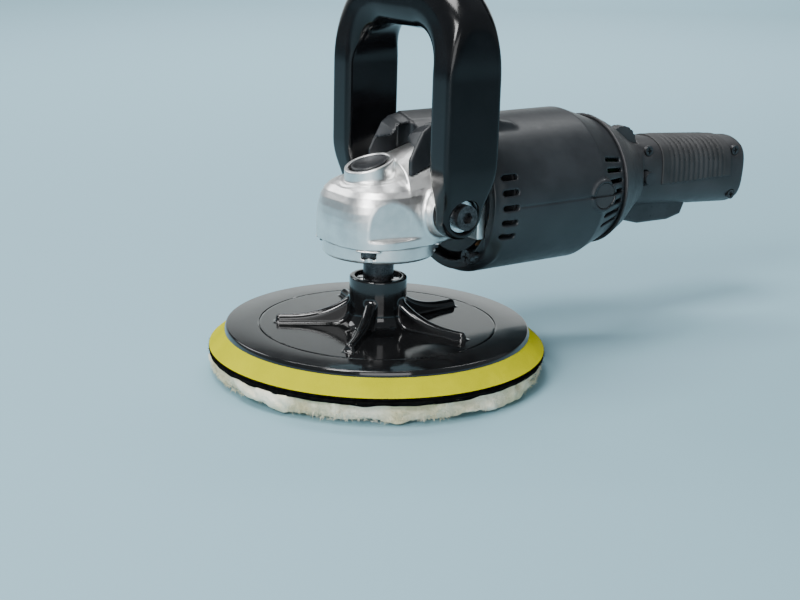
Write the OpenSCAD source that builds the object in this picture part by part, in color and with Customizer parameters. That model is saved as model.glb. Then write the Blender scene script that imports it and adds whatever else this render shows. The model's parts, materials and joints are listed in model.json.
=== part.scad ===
// Rotary car polisher: bevel gear head, universal motor, rear trigger handle, bow front handle,
// moulded backing plate with foam ring and a wool bonnet held by hook and loop.
// Origin: spindle axis on the work face. +Z up along the spindle, +X to the rear, millimetres.

/* [Pad stack] */
// Diameter of the foam pad at its lower edge
pad_d = 180; // [150:1:200]
// Height of the wool pile
wool_h = 12; // [8:0.5:14]
// Thickness of the bonnet's loop backing
loop_h = 1.5; // [1:0.1:2]
// Thickness of the hook layer
hook_h = 1.8; // [1:0.1:2.5]
// Height of the foam ring
foam_h = 7.8; // [6:0.1:10]
// Thickness of the backing plate at its rim
plate_h = 2.9; // [2.5:0.1:4]
// Number of ribs round the plate's hub
rib_count = 5; // [3:1:8]
// Angle of the first rib from the rear
rib_start = 4; // [0:1:70]

/* [Gear head] */
// Height of the joint between gear housing and bearing cover
seam_z = 73.5; // [72:0.5:76]
// Height of the bearing cover
cover_h = 8; // [7:0.5:9]
// Half width of the gear housing's square foot
head_half = 31; // [30:0.5:33]
// Height of the motor axis
motor_z = 91; // [90:0.5:92]
// Diameter of the spindle and of its thread
spindle_d = 14; // [12:1:16]
// Distance of the lock button in front of the spindle axis
button_x = 7.5; // [6:0.5:8]
// Slope of the lock button's top face
button_tilt = 17; // [10:1:22]

/* [Motor] */
// Outer radius of the stator core
stator_r = 34; // [32:0.5:35]
// Outer radius of the armature core
armature_r = 20; // [18:0.5:20.5]
// Length of both cores
core_len = 40; // [34:1:42]
// Teeth on the large bevel gear, a multiple of four
gear_teeth = 40; // [36:4:44]
// Teeth on the pinion
pinion_teeth = 8; // [8:1:9]

/* [Housing and handles] */
// Outer radius of the motor housing
housing_r = 43; // [41:0.5:44]
// Length of the motor housing behind the flange
housing_len = 106; // [104:1:110]
// Length of the rear handle behind the motor housing
handle_len = 122; // [110:1:130]
// Height of the bow handle's grip axis
bow_top_z = 197; // [190:1:210]
// Radius of the bow handle's grip
bow_r = 15; // [13:0.5:17]

/* [Hidden] */
$fn = 64;

// Pad stack levels, from the work face up
loop_z = wool_h;
hook_z = loop_z + loop_h;
foam_z = hook_z + hook_h;
plate_z = foam_z + foam_h;
plate_top = plate_z + plate_h;
pad_r = pad_d / 2;
plate_r = pad_r - 8.5;
hub_r = 15.4;
hub_top = plate_top + 26.3;
insert_r = 11.5;
rib_end = 54.5;
rib_w = 5.6;
rib_low = 4.4;
rib_rise = 10.6;
rim_wall = 2.8;

// Gear head levels
cover_z = seam_z - cover_h;
spindle_r = spindle_d / 2;
collar_r = 8.2;
journal_r = 6;
top_journal_r = 4;
bearing_h = 10;
bearing_z = cover_z + 2;
gear_z = bearing_z + bearing_h + 0.5;
gear_web_h = 4.5;
screw_offset = 20.2;
ear_t = 1;
dome_r = 32.6;
wall = 4;
fit = 0.04;
button_z = 113.9;
boss_r = 12.8;
button_r = 10.2;
lock_pin_x = -11.5;
lock_pin_r = 2.5;
neck_r = 32;
neck_cut_x = 33;
flange_x = 40;
flange_t = 5;
flange_half = 33;
flange_screw = 27.5;

// Bevel pair
pitch_r = 21;
gear_outer_r = 22;
gear_inner_r = 15;
pinion_pitch_r = pitch_r * pinion_teeth / gear_teeth;
cone_angle = atan(pinion_pitch_r / pitch_r);

// Motor stations along X
front_bearing_x = 29;
fan_x = 47;
core_x = 66;
commutator_x = core_x + core_len + 8;
rear_bearing_x = commutator_x + 15;
housing_x = flange_x + flange_t;
housing_end = housing_x + housing_len;
taper_x = housing_x + 76;
taper_r = 33;
hood_in = 6;
hood_out = 19.5;
hood_wall = 1.9;
handle_end = housing_end + handle_len - 8;

// Bow handle and trigger
bow_x = 20;
bow_inner = 36.5;
bow_t = 16.5;
bow_half = 17;
bow_eye_r = 12.2;
bow_taper_z = motor_z + 24;
trigger_x = housing_end + 12;
trigger_z = motor_z - 17.5;
dial_x = housing_end + 12;
dial_z = motor_z + 19;

// Rounded square with exact corner arcs
module rounded_square(half, corner) {
    square([2 * half, 2 * (half - corner)], center = true);
    square([2 * (half - corner), 2 * half], center = true);
    for (sx = [-1, 1], sy = [-1, 1])
        translate([sx * (half - corner), sy * (half - corner)]) circle(corner);
}

// Cylinder lying along +X from x
module bar_x(x, r, len, z = motor_z) {
    translate([x, 0, z]) rotate([0, 90, 0]) cylinder(r = r, h = len);
}

// Cone frustum along +X from x
module cone_x(x, r1, r2, len, z = motor_z) {
    translate([x, 0, z]) rotate([0, 90, 0]) cylinder(r1 = r1, r2 = r2, h = len);
}

// Tube along +X from x
module tube_x(x, r_out, r_in, len, z = motor_z) {
    difference() {
        bar_x(x, r_out, len, z);
        bar_x(x - 1, r_in, len + 2, z);
    }
}

// Tube along +Z from z
module tube_z(z, r_out, r_in, h) {
    translate([0, 0, z]) difference() {
        cylinder(r = r_out, h = h);
        translate([0, 0, -1]) cylinder(r = r_in, h = h + 2);
    }
}

// Rolling bearing parts about Z, from z = 0
module race_inner(r_in, r_mid, w) {
    difference() {
        cylinder(r = r_mid - 2, h = w);
        translate([0, 0, -1]) cylinder(r = r_in, h = w + 2);
        rotate_extrude() translate([r_mid, w / 2]) circle(2.6);
    }
}

module race_outer(r_out, r_mid, w) {
    difference() {
        cylinder(r = r_out, h = w);
        translate([0, 0, -1]) cylinder(r = r_mid + 2, h = w + 2);
        rotate_extrude() translate([r_mid, w / 2]) circle(2.6);
    }
}

module ball_cage(r_mid, w, balls) {
    difference() {
        translate([0, 0, w / 2 - 1.2]) cylinder(r = r_mid + 0.7, h = 2.4);
        translate([0, 0, w / 2 - 2]) cylinder(r = r_mid - 0.7, h = 4);
    }
    for (i = [0 : balls - 1]) rotate([0, 0, i * 360 / balls]) translate([r_mid, 0, w / 2]) sphere(2.3);
}

module bearing_place_x(x) {
    translate([x, 0, motor_z]) rotate([0, 90, 0]) children();
}

// Closed coil drawn as a stack of merged rings
module coil(r, wire, len) {
    turns = floor(len / (wire * 1.7));
    rotate_extrude() union() {
        for (i = [0 : turns])
            translate([r, wire / 2 + i * (len - wire) / turns]) circle(wire / 2, $fn = 16);
        translate([r - wire / 5, wire / 2]) square([wire / 2.5, len - wire]);
    }
}

// Pan head screw with a cross recess, head down at the origin, shank along +Z
module pan_screw(head_r, head_h, shank_r, len) {
    difference() {
        translate([0, 0, -head_h]) cylinder(r = head_r, h = head_h);
        for (a = [0, 90]) rotate([0, 0, a])
            translate([-head_r * 0.6, -0.5, -head_h - 1]) cube([head_r * 1.2, 1, head_h * 0.5 + 1]);
    }
    cylinder(r = shank_r, h = len);
}

// ---- pad stack ----
module wool_bonnet() {
    color("ivory") rotate_extrude() union() {
        square([pad_r - 4.5, wool_h]);
        translate([0, 4]) square([pad_r - 0.5, wool_h - 4]);
        translate([pad_r - 4.5, 4]) circle(4);
    }
}

module bonnet_backing() {
    color("dimgray") translate([0, 0, loop_z]) cylinder(r = pad_r + 0.4, h = loop_h);
}

module hook_layer() {
    color("black") translate([0, 0, hook_z]) cylinder(r = pad_r, h = hook_h);
}

module foam_pad() {
    color("yellow") translate([0, 0, foam_z]) cylinder(r1 = pad_r, r2 = plate_r + 0.4, h = foam_h);
}

module rib() {
    rotate([90, 0, 0]) translate([0, 0, -rib_w / 2]) linear_extrude(rib_w) polygon(concat(
        [[hub_r - 2, plate_z + 1], [rib_end, plate_z + 1], [rib_end, plate_top + rib_low - 0.8]],
        [for (i = [0 : 8]) let (t = i / 8)
            [rib_end - 1 - t * (rib_end - 1 - hub_r), plate_top + rib_low + rib_rise * pow(t, 2.9)]],
        [[hub_r - 2, plate_top + rib_low + rib_rise]]));
}

module backing_plate() {
    flare = 6;
    color([0.08, 0.08, 0.09]) difference() {
        union() {
            translate([0, 0, plate_z]) cylinder(r1 = plate_r + 0.4, r2 = plate_r - 0.4, h = plate_h);
            translate([0, 0, plate_top - 1]) cylinder(r = hub_r, h = hub_top - plate_top + 1);
            rotate_extrude() translate([hub_r - 0.5, plate_top - 0.5]) difference() {
                square(flare);
                translate([flare + 0.5, flare + 0.5]) circle(flare);
            }
            for (i = [0 : rib_count - 1]) rotate([0, 0, rib_start + i * 360 / rib_count]) rib();
        }
        translate([0, 0, plate_z + 1.5]) cylinder(r = insert_r + fit, h = hub_top);
        translate([0, 0, plate_top]) rotate_extrude() translate([plate_r * 0.78, 0]) circle(0.35, $fn = 16);
        translate([0, 0, hub_top - 2.2]) cylinder(r = hub_r - rim_wall, h = 3);
    }
}

module threaded_insert() {
    top = hub_top - 2.4;
    base = plate_z + 1.5 + fit;
    color("silver") difference() {
        union() {
            translate([0, 0, base]) cylinder(r = insert_r, h = top - base);
            for (i = [0 : 3]) rotate([0, 0, 45 + 90 * i]) translate([spindle_r + 1, -2.2, top - 0.5])
                cube([3.1, 4.4, 1.6]);
        }
        translate([0, 0, base - 1]) cylinder(r = spindle_r + fit, h = hub_top);
    }
}

// ---- spindle ----
module spindle() {
    base = plate_z + 4;
    gear_seat = gear_z + gear_web_h + 3;
    color([0.12, 0.12, 0.13]) difference() {
        union() {
            translate([0, 0, base]) cylinder(r = spindle_r, h = bearing_z - base);
            translate([0, 0, hub_top - 1.2]) cylinder(r = collar_r, h = cover_z - 3 - hub_top + 1.2);
            translate([0, 0, base]) cylinder(r = journal_r, h = gear_seat + 2.2 - base);
            translate([0, 0, base]) cylinder(r = top_journal_r, h = 101 - base);
        }
        translate([journal_r - 1.5, -1.5, gear_z - 0.1]) cube([3, 3, 6]);
        tube_z(gear_seat, journal_r + 1, journal_r - 0.6, 1.2);
    }
}

module gear_key() {
    color("gray") translate([journal_r - 1.5, -1.45, gear_z + 0.05]) cube([2.7, 2.9, 5.5]);
}

module gear_retaining_ring() {
    color("darkgray") difference() {
        tube_z(gear_z + gear_web_h + 3.05, journal_r + 1.8, journal_r - 0.5, 1.05);
        translate([0, -1.6, gear_z]) cube([12, 3.2, 20]);
    }
}

module bevel_gear() {
    tooth_w = 1.06;
    rim_h = motor_z - pinion_pitch_r - gear_z - 1.35;
    color("slategray") difference() {
        union() {
            translate([0, 0, gear_z]) cylinder(r = gear_outer_r, h = gear_web_h);
            translate([0, 0, gear_z]) cylinder(r = journal_r + 2.6, h = gear_web_h + 3);
            difference() {
                translate([0, 0, gear_z]) cylinder(r = gear_outer_r, h = rim_h);
                translate([0, 0, gear_z + 1]) cylinder(r = gear_inner_r, h = rim_h);
            }
            for (i = [0 : gear_teeth - 1]) rotate([0, 0, (i + 0.5) * 360 / gear_teeth])
                translate([0, 0, motor_z]) rotate([0, cone_angle, 0])
                    translate([gear_inner_r + 0.3, -tooth_w / 2, -1.9])
                        cube([gear_outer_r - gear_inner_r - 0.5, tooth_w, 2.5]);
        }
        translate([0, 0, gear_z - 1]) cylinder(r = journal_r + fit, h = 12);
        translate([journal_r - 1.5, -1.5, gear_z - 1]) cube([2.8, 3, 12]);
        for (i = [0 : 3]) rotate([0, 0, 90 * i])
            translate([lock_pin_x, 0, gear_z - 1]) cylinder(r = 3, h = 12);
    }
}

module lower_bearing_inner() {
    color("lightgray") translate([0, 0, bearing_z]) race_inner(journal_r + fit, 11, bearing_h);
}

module lower_bearing_cage() {
    color("gold") translate([0, 0, bearing_z]) ball_cage(11, bearing_h, 10);
}

module lower_bearing_outer() {
    color("lightgray") translate([0, 0, bearing_z]) race_outer(16, 11, bearing_h);
}

module dust_ring() {
    color("silver") tube_z(cover_z - 2.8, 9.8, spindle_r + 0.35, 2.8);
}

module upper_spindle_bush() {
    color("peru") tube_z(93, 6, top_journal_r + fit, 7);
}

// ---- gear head ----
module bearing_cover() {
    color("silver") difference() {
        union() {
            translate([0, 0, cover_z + 2]) cylinder(r = 30, h = cover_h - 2);
            translate([0, 0, cover_z]) cylinder(r = 28, h = 3);
            rotate_extrude() translate([28, cover_z + 2]) circle(2);
            intersection() {
                translate([0, 0, seam_z - ear_t]) linear_extrude(ear_t) rounded_square(head_half - 1, 21);
                for (a = [45 : 90 : 315]) rotate([0, 0, a]) translate([10, -7, 0]) cube([30, 14, 80]);
            }
        }
        translate([0, 0, cover_z - 1]) cylinder(r = spindle_r + 0.4, h = cover_h + 2);
        translate([0, 0, bearing_z]) cylinder(r = 16 + fit, h = cover_h);
        for (sx = [-1, 1], sy = [-1, 1]) translate([sx * screw_offset, sy * screw_offset, 0]) {
            translate([0, 0, cover_z - 1]) cylinder(r = 2.2, h = cover_h + 2);
            // notch for the screw head, open to the outside
            translate([0, 0, seam_z - ear_t - 4.5]) cylinder(r = 4, h = 4.5);
            rotate([0, 0, atan2(sy, sx)]) translate([0, -4, seam_z - ear_t - 4.5]) cube([12, 8, 4.5]);
        }
    }
}

module cover_screws() {
    color([0.1, 0.1, 0.1]) for (sx = [-1, 1], sy = [-1, 1])
        translate([sx * screw_offset, sy * screw_offset, seam_z - ear_t]) pan_screw(3.6, 2.6, 2.1, 10);
}

module head_outer() {
    boss_top = 124;
    intersection() {
        rotate_extrude() union() {
            translate([0, seam_z]) square([dome_r, 14]);
            polygon([[0, 86], [dome_r, 86], [32.2, 90], [31.2, 94], [29.4, 98], [27, 101], [23.6, 103.7],
                [19.5, 105.6], [14, 106.8], [0, 107.4]]);
        }
        translate([-40, -30.6, 0]) cube([80, 61.2, 130]);
    }
    translate([0, 0, seam_z]) linear_extrude(7.5) rounded_square(head_half, 22);
    // raised boss round the lock button, cut level with the button's slope
    difference() {
        translate([-button_x, 0, 98]) cylinder(r = boss_r, h = boss_top - 98);
        translate([-button_x, 0, button_z]) rotate([0, -button_tilt, 0])
            translate([-40, -40, 0]) cube([80, 80, 30]);
    }
    // neck towards the motor, cut off level with the seam where the bearing cover lies below it
    difference() {
        union() {
            cone_x(4, 25, neck_r, 26);
            bar_x(30, neck_r, flange_x - 30);
        }
        translate([-50, -50, seam_z - 50]) cube([50 + neck_cut_x, 100, 50]);
    }
    translate([flange_x, 0, motor_z]) rotate([90, 0, 90]) linear_extrude(flange_t)
        rounded_square(flange_half, 11);
    // side bosses that carry the bow handle
    translate([bow_x, 36, motor_z]) rotate([90, 0, 0]) cylinder(r = 13, h = 72);
}

module gear_housing() {
    inner_r = dome_r - wall - 0.6;
    color("silver") difference() {
        head_outer();
        // gear chamber
        difference() {
            intersection() {
                union() {
                    translate([0, 0, seam_z - 1]) cylinder(r = inner_r, h = 94.01 - seam_z + 1);
                    translate([0, 0, 94]) cylinder(r1 = inner_r, r2 = inner_r - 6.5, h = 7.5);
                }
                translate([-40, -26.6, 0]) cube([80, 53.2, 130]);
            }
            for (sx = [-1, 1], sy = [-1, 1])
                translate([sx * screw_offset, sy * screw_offset, 0]) cylinder(r = 4.3, h = 130);
            translate([0, 0, 92.5]) cylinder(r = 8, h = 20);
            translate([26, -40, 0]) cube([20, 80, 130]);
        }
        translate([0, 0, seam_z - 1]) cylinder(r = 16 + fit, h = bearing_z + bearing_h - seam_z + 1);
        translate([0, 0, 85]) cylinder(r = 6 + fit, h = 15.1);
        translate([0, 0, 99]) cylinder(r = top_journal_r + 0.4, h = 3);
        for (sx = [-1, 1], sy = [-1, 1])
            translate([sx * screw_offset, sy * screw_offset, seam_z - 1]) cylinder(r = 2.1 + fit, h = 14);
        // lock button well and the bore of its pin
        translate([-button_x, 0, 105]) cylinder(r = button_r + 0.5, h = 30);
        translate([lock_pin_x, 0, 88]) cylinder(r = lock_pin_r + 0.06, h = 20);
        // front bearing seat and the open back of the neck
        bar_x(front_bearing_x, 11 + fit, 20);
        bar_x(24, 7.5, 10);
        bar_x(36.2, neck_r - wall, 12);
        for (sy = [-1, 1], sz = [-1, 1])
            translate([0, sy * flange_screw, motor_z + sz * flange_screw]) bar_x(30, 2.3, 20, 0);
        for (s = [-1, 1]) translate([bow_x, s * 37, motor_z]) rotate([s * 90, 0, 0])
            cylinder(r = 3.9, h = 9);
    }
}

module lock_button() {
    color([0.2, 0.2, 0.21]) {
        difference() {
            translate([-button_x, 0, 109.6]) cylinder(r = button_r, h = 12);
            translate([-button_x, 0, button_z + 0.4]) rotate([0, -button_tilt, 0])
                translate([-20, -20, 0]) cube([40, 40, 20]);
            translate([-button_x, 0, 108]) cylinder(r = button_r - 2.2, h = 2.8);
        }
        translate([lock_pin_x, 0, 87]) cylinder(r = lock_pin_r, h = 24);
    }
}

module lock_spring() {
    color("gray") translate([-button_x + 2.6, 0, 105.05]) coil(3.2, 0.7, 5.7);
}

// ---- armature ----
module pinion() {
    tooth_w = 0.96;
    root_cone = cone_angle - 3.6;
    color("slategray") difference() {
        union() {
            cone_x(gear_inner_r, gear_inner_r * tan(root_cone) + 0.3, gear_outer_r * tan(root_cone) + 0.3,
                gear_outer_r - gear_inner_r);
            bar_x(gear_outer_r, 4.6, 3);
            for (i = [0 : pinion_teeth - 1]) translate([0, 0, motor_z])
                rotate([i * 360 / pinion_teeth, 0, 0]) rotate([0, cone_angle, 0])
                    translate([gear_inner_r + 0.4, -tooth_w / 2, -0.75])
                    cube([gear_outer_r - gear_inner_r - 0.6, tooth_w, 2]);
        }
        bar_x(0, 2.2 + fit, 40);
    }
}

module pinion_nut() {
    color("dimgray") difference() {
        translate([gear_inner_r - 2.6, 0, motor_z]) rotate([0, 90, 0]) cylinder(r = 3.6, h = 2.5, $fn = 6);
        bar_x(0, 2.2 + fit, 40);
    }
}

module armature_shaft() {
    color("lightgray") {
        bar_x(gear_inner_r - 3.2, 2.2, 20);
        bar_x(gear_outer_r + 3.05, 4, core_x - gear_outer_r);
        bar_x(core_x - 7, 5, core_len + 27);
        bar_x(core_x + core_len + 5, 3, rear_bearing_x + 8 - core_x - core_len - 5);
    }
}

module armature_core() {
    color("gray") difference() {
        bar_x(core_x, armature_r, core_len);
        bar_x(core_x - 1, 5 + fit, core_len + 2);
        for (i = [0 : 11]) translate([0, 0, motor_z]) rotate([i * 30, 0, 0]) {
            translate([core_x - 1, 0, 15]) rotate([0, 90, 0]) cylinder(r = 2.7, h = core_len + 2);
            translate([core_x - 1, -0.8, 16]) cube([core_len + 2, 1.6, 6]);
        }
    }
}

module armature_windings() {
    color("chocolate") {
        for (x = [core_x - 6, core_x + core_len]) difference() {
            bar_x(x, 17.3, 6);
            bar_x(x - 1, 6, 8);
        }
        for (i = [0 : 11]) translate([0, 0, motor_z]) rotate([i * 30, 0, 0]) translate([core_x - 1, 0, 15])
            rotate([0, 90, 0]) cylinder(r = 2.2, h = core_len + 2);
    }
}

module commutator() {
    bars = 24;
    color("peru") difference() {
        bar_x(commutator_x, 11, 13);
        bar_x(commutator_x - 1, 5 + fit, 15);
        for (i = [0 : bars - 1]) translate([0, 0, motor_z]) rotate([i * 360 / bars, 0, 0])
            translate([commutator_x - 1, -0.25, 10]) cube([15, 0.5, 2]);
    }
}

module cooling_fan() {
    blades = 11;
    color([0.15, 0.15, 0.16]) difference() {
        union() {
            bar_x(fan_x, 31, 2);
            bar_x(fan_x, 9, 11);
            for (i = [0 : blades - 1]) translate([0, 0, motor_z]) rotate([i * 360 / blades, 0, 0])
                translate([fan_x + 1, -0.8, 8]) cube([10, 1.6, 22]);
        }
        bar_x(fan_x - 1, 4 + fit, 20);
    }
}

module front_bearing_inner() {
    color("lightgray") bearing_place_x(front_bearing_x) race_inner(4 + fit, 7.4, 7);
}

module front_bearing_cage() {
    color("gold") bearing_place_x(front_bearing_x) ball_cage(7.4, 7, 7);
}

module front_bearing_outer() {
    color("lightgray") bearing_place_x(front_bearing_x) race_outer(11, 7.4, 7);
}

module bearing_retainer() {
    color("darkgray") difference() {
        bar_x(36.3, 16, 1.6);
        bar_x(30, 9, 20);
    }
}

module rear_bearing_inner() {
    color("lightgray") bearing_place_x(rear_bearing_x) race_inner(3 + fit, 6.4, 6);
}

module rear_bearing_cage() {
    color("gold") bearing_place_x(rear_bearing_x) ball_cage(6.4, 6, 6);
}

module rear_bearing_outer() {
    color("lightgray") bearing_place_x(rear_bearing_x) race_outer(9.8, 6.4, 6);
}

module rear_bearing_boot() {
    color("black") difference() {
        bar_x(rear_bearing_x - 0.5, 11.8, 8);
        bar_x(rear_bearing_x - 1, 9.8 + fit, 7.1);
        bar_x(rear_bearing_x - 1, 4, 12);
    }
}

// ---- stator and brushes ----
module ring_sector(r_in, r_out, a1, a2) {
    mid = (a1 + a2) / 2;
    far = r_out * 2;
    intersection() {
        difference() {
            circle(r_out);
            circle(r_in);
        }
        polygon([[0, 0], far * [cos(a1), sin(a1)], far * [cos(mid), sin(mid)], far * [cos(a2), sin(a2)]]);
    }
}

module extrude_x(x, len) {
    translate([x, 0, motor_z]) rotate([90, 0, 90]) linear_extrude(len) children();
}

module stator_core() {
    color("gray") extrude_x(core_x, core_len) difference() {
        circle(stator_r);
        circle(armature_r + 0.6);
        for (a = [0, 180]) rotate(a) ring_sector(10, 29.8, -40, 40);
    }
}

module field_coils() {
    color("chocolate") for (side = [0, 180]) {
        for (a = [9, 143]) extrude_x(core_x - 6, core_len + 12) rotate(side)
            ring_sector(22, 29.4, a, a + 28);
        for (x = [core_x - 6, core_x + core_len + 0.5]) extrude_x(x, 5.5) rotate(side)
            ring_sector(22, 29.4, 10, 170);
    }
}

module air_baffle() {
    color([0.15, 0.15, 0.16]) tube_x(fan_x + 11.6, housing_r - 3.1, 31.5, 1.6);
}

module brush_place() {
    for (s = [0, 180]) translate([commutator_x + 6.5, 0, motor_z]) rotate([s - 90, 0, 0]) children();
}

module carbon_brushes() {
    color([0.15, 0.15, 0.15]) brush_place() translate([-3.5, -2.5, 11.4]) cube([7, 5, 14]);
}

module brush_holders() {
    color("goldenrod") brush_place() difference() {
        translate([-5, -4, 13]) cube([10, 8, 22]);
        translate([-3.6, -2.6, 12]) cube([7.2, 5.2, 24]);
    }
}

module brush_springs() {
    color("silver") brush_place() translate([0, 0, 25.5]) coil(1.8, 0.6, 8.6);
}

module brush_caps() {
    color("black") brush_place() difference() {
        union() {
            translate([0, 0, 35.2]) cylinder(r = 5.5, h = housing_r - 34.8);
            translate([0, 0, housing_r - 1.2]) cylinder(r = 7, h = 1.8);
        }
        translate([-7, -0.7, housing_r - 0.4]) cube([14, 1.4, 3]);
    }
}

// ---- motor housing ----
// Side view of the hood that reaches over the aluminium neck
module hood_outline() {
    polygon([[4.9, 106], [4.9, 117], [8, 123], [12.5, 131], [17, 134.2], [24, 135.6], [52, 135.6],
        [72, 131], [72, 120], [44, 106]]);
}

module hood() {
    // two prongs that leave room for the lock button's boss, open below and joined further back
    difference() {
        for (s = [0, 1]) mirror([0, s, 0]) translate([0, hood_in, 0]) rotate([90, 0, 0]) mirror([0, 0, 1])
            linear_extrude(hood_out - hood_in) hood_outline();
        translate([0, -hood_out + hood_wall, 100]) cube([22, 2 * (hood_out - hood_wall), 22.6]);
    }
    intersection() {
        translate([0, -hood_out, 0]) rotate([90, 0, 0]) mirror([0, 0, 1]) linear_extrude(2 * hood_out)
            hood_outline();
        translate([24, -30, 100]) cube([60, 60, 60]);
    }
}

module motor_housing() {
    shell = 3;
    color([0.1, 0.1, 0.11]) difference() {
        union() {
            cone_x(housing_x, housing_r - 2.5, housing_r, 8);
            bar_x(housing_x + 8, housing_r, 70);
            cone_x(taper_x, housing_r, taper_r, housing_end - taper_x);
            translate([housing_x, 0, motor_z]) rotate([90, 0, 90]) linear_extrude(9)
                rounded_square(flange_half, 11);
            for (sy = [-1, 1], sz = [-1, 1]) translate([0, sy * flange_screw, motor_z + sz * flange_screw])
                bar_x(housing_x, 5, 22, 0);
            hood();
            translate([commutator_x + 6.5, housing_r + 1, motor_z]) rotate([90, 0, 0])
                cylinder(r = 9, h = 2 * housing_r + 2);
        }
        bar_x(housing_x - 1, housing_r - shell - 4.5, 16);
        bar_x(housing_x + 3, housing_r - shell, 75);
        cone_x(taper_x - 0.1, housing_r - shell, taper_r - shell, housing_end - taper_x + 0.2);
        // clearance over the aluminium neck
        cone_x(3.9, 25.2, neck_r + 0.25, 26.1);
        bar_x(29.9, neck_r + 0.25, flange_x - 29);
        translate([flange_x - 1, 0, motor_z]) rotate([90, 0, 90]) linear_extrude(flange_t + 1)
            rounded_square(flange_half + 0.3, 11);
        for (sy = [-1, 1], sz = [-1, 1]) translate([0, sy * flange_screw, motor_z + sz * flange_screw])
            bar_x(housing_x - 1, 2.1 + fit, 18, 0);
        // exhaust slots near the fan and inlet slots near the brushes
        for (s = [-1, 1], i = [-2 : 2]) translate([fan_x + 3, 0, motor_z]) rotate([s * 90 + i * 11, 0, 0])
            translate([0, -1.6, 28]) cube([10, 3.2, 20]);
        for (s = [-1, 1], i = [-3 : 3]) translate([housing_end - 26, 0, motor_z])
            rotate([s * 90 + i * 9, 0, 0]) translate([0, -1.2, 20]) cube([16, 2.4, 20]);
        brush_place() translate([0, 0, 30]) cylinder(r = 7.2, h = 20);
    }
    // spider that carries the rear bearing and the brush sleeves
    color([0.1, 0.1, 0.11]) difference() {
        union() {
            tube_x(rear_bearing_x - 0.5, 14, 11.8 + fit, 8);
            for (a = [45 : 90 : 315]) translate([0, 0, motor_z]) rotate([a, 0, 0])
                translate([rear_bearing_x - 0.5, -2, 13]) cube([6, 4, 21]);
        }
    }
}

module housing_screws() {
    color([0.2, 0.2, 0.2]) for (sy = [-1, 1], sz = [-1, 1])
        translate([flange_x, sy * flange_screw, motor_z + sz * flange_screw]) rotate([0, 90, 0])
            pan_screw(4, 3, 2.1, 18);
}

// ---- rear handle ----
module handle_solid(grow) {
    // collar round the motor housing, then a straight grip that drops slightly
    cone_x(housing_end - 8, 38 + grow, 33.5 + grow, 10);
    cone_x(housing_end + 1.9, 33.5 + grow, 21 + grow, 20);
    translate([housing_end + 16, 0, motor_z + 2]) rotate([0, 94, 0]) intersection() {
        cylinder(r = 21 + grow, h = handle_len - 24);
        translate([-30, -17.5 - grow, 0]) cube([60, 35 + 2 * grow, handle_len]);
    }
}

module handle_shell() {
    difference() {
        handle_solid(0);
        handle_solid(-2.6);
        cone_x(taper_x, housing_r + fit, taper_r + fit, housing_end - taper_x + 0.05);
        translate([handle_end - 13, 0, motor_z - 5]) rotate([0, 94, 0]) cylinder(r = 6.2, h = 20);
        // mouth for the trigger
        translate([trigger_x, -7.5, motor_z - 32]) cube([64, 15, 26]);
        translate([housing_end + 26, -30, motor_z]) rotate([90, 0, 0])
            cylinder(r = 4.4, h = 40, center = true);
        translate([dial_x - 12.5, -11.4, motor_z + 5]) cube([25, 7.7, 40]);
        for (p = handle_screw_points()) translate([p[0], 0, p[1]]) rotate([90, 0, 0])
            cylinder(r = 1.6, h = 60, center = true);
    }
    for (p = handle_screw_points()) translate([p[0], 0, p[1]]) rotate([90, 0, 0]) difference() {
        cylinder(r = 4, h = 28, center = true);
        cylinder(r = 1.6, h = 60, center = true);
    }
    translate([handle_end - 12, 0, motor_z - 5]) rotate([0, 94, 0]) difference() {
        cylinder(r = 9, h = 7);
        translate([0, 0, -1]) cylinder(r = 6.2, h = 20);
    }
}

function handle_screw_points() = [[housing_end + 29.5, motor_z + 15.3], [housing_end + 104, motor_z + 9.5],
    [housing_end + 103.5, motor_z - 18.2]];

module handle_half(side) {
    intersection() {
        handle_shell();
        translate([housing_end - 20, side > 0 ? 0.02 : -60.02, 0]) cube([200, 60, 200]);
    }
}

module handle_shell_left() {
    color([0.12, 0.12, 0.13]) handle_half(1);
}

module handle_shell_right() {
    color([0.12, 0.12, 0.13]) difference() {
        handle_half(-1);
        for (p = handle_screw_points()) translate([p[0], -14, p[1]]) rotate([90, 0, 0])
            cylinder(r = 3.2, h = 20);
    }
}

module handle_screws() {
    color([0.2, 0.2, 0.2]) for (p = handle_screw_points()) translate([p[0], -14, p[1]]) rotate([-90, 0, 0])
        pan_screw(2.9, 2.2, 1.55, 26);
}

module soft_grip() {
    color([0.2, 0.2, 0.2]) difference() {
        handle_solid(1.1);
        handle_solid(0.02);
        translate([0, -60, 0]) cube([housing_end + 40, 120, 200]);
        translate([handle_end - 14, -60, 0]) cube([60, 120, 200]);
        translate([housing_end, -60, 0]) cube([120, 120, motor_z - 6]);
    }
}

module trigger() {
    color("black") difference() {
        translate([trigger_x + 2, -6.8, 0]) rotate([90, 0, 0]) mirror([0, 0, 1]) linear_extrude(13.6)
            polygon([[0, trigger_z + 4.5], [0, trigger_z - 4], [4, trigger_z - 9], [20, trigger_z - 13.5],
                [45, trigger_z - 14], [56, trigger_z - 11.5], [59, trigger_z - 5], [59, trigger_z + 1],
                [10, trigger_z + 4.5]]);
        translate([trigger_x + 7, 0, trigger_z]) rotate([90, 0, 0])
            cylinder(r = 1.55, h = 40, center = true);
    }
}

module trigger_spring() {
    color("silver") translate([trigger_x + 46, 0, trigger_z + 2.5]) coil(2.6, 0.7, 7.4);
}

module switch_body() {
    color([0.25, 0.25, 0.27]) {
        translate([trigger_x + 17.2, -9, motor_z - 7.5]) cube([34.8, 18, 17]);
        translate([trigger_x + 7, 0, trigger_z]) rotate([90, 0, 0])
            cylinder(r = 1.5, h = 14.98, center = true);
    }
}

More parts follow.
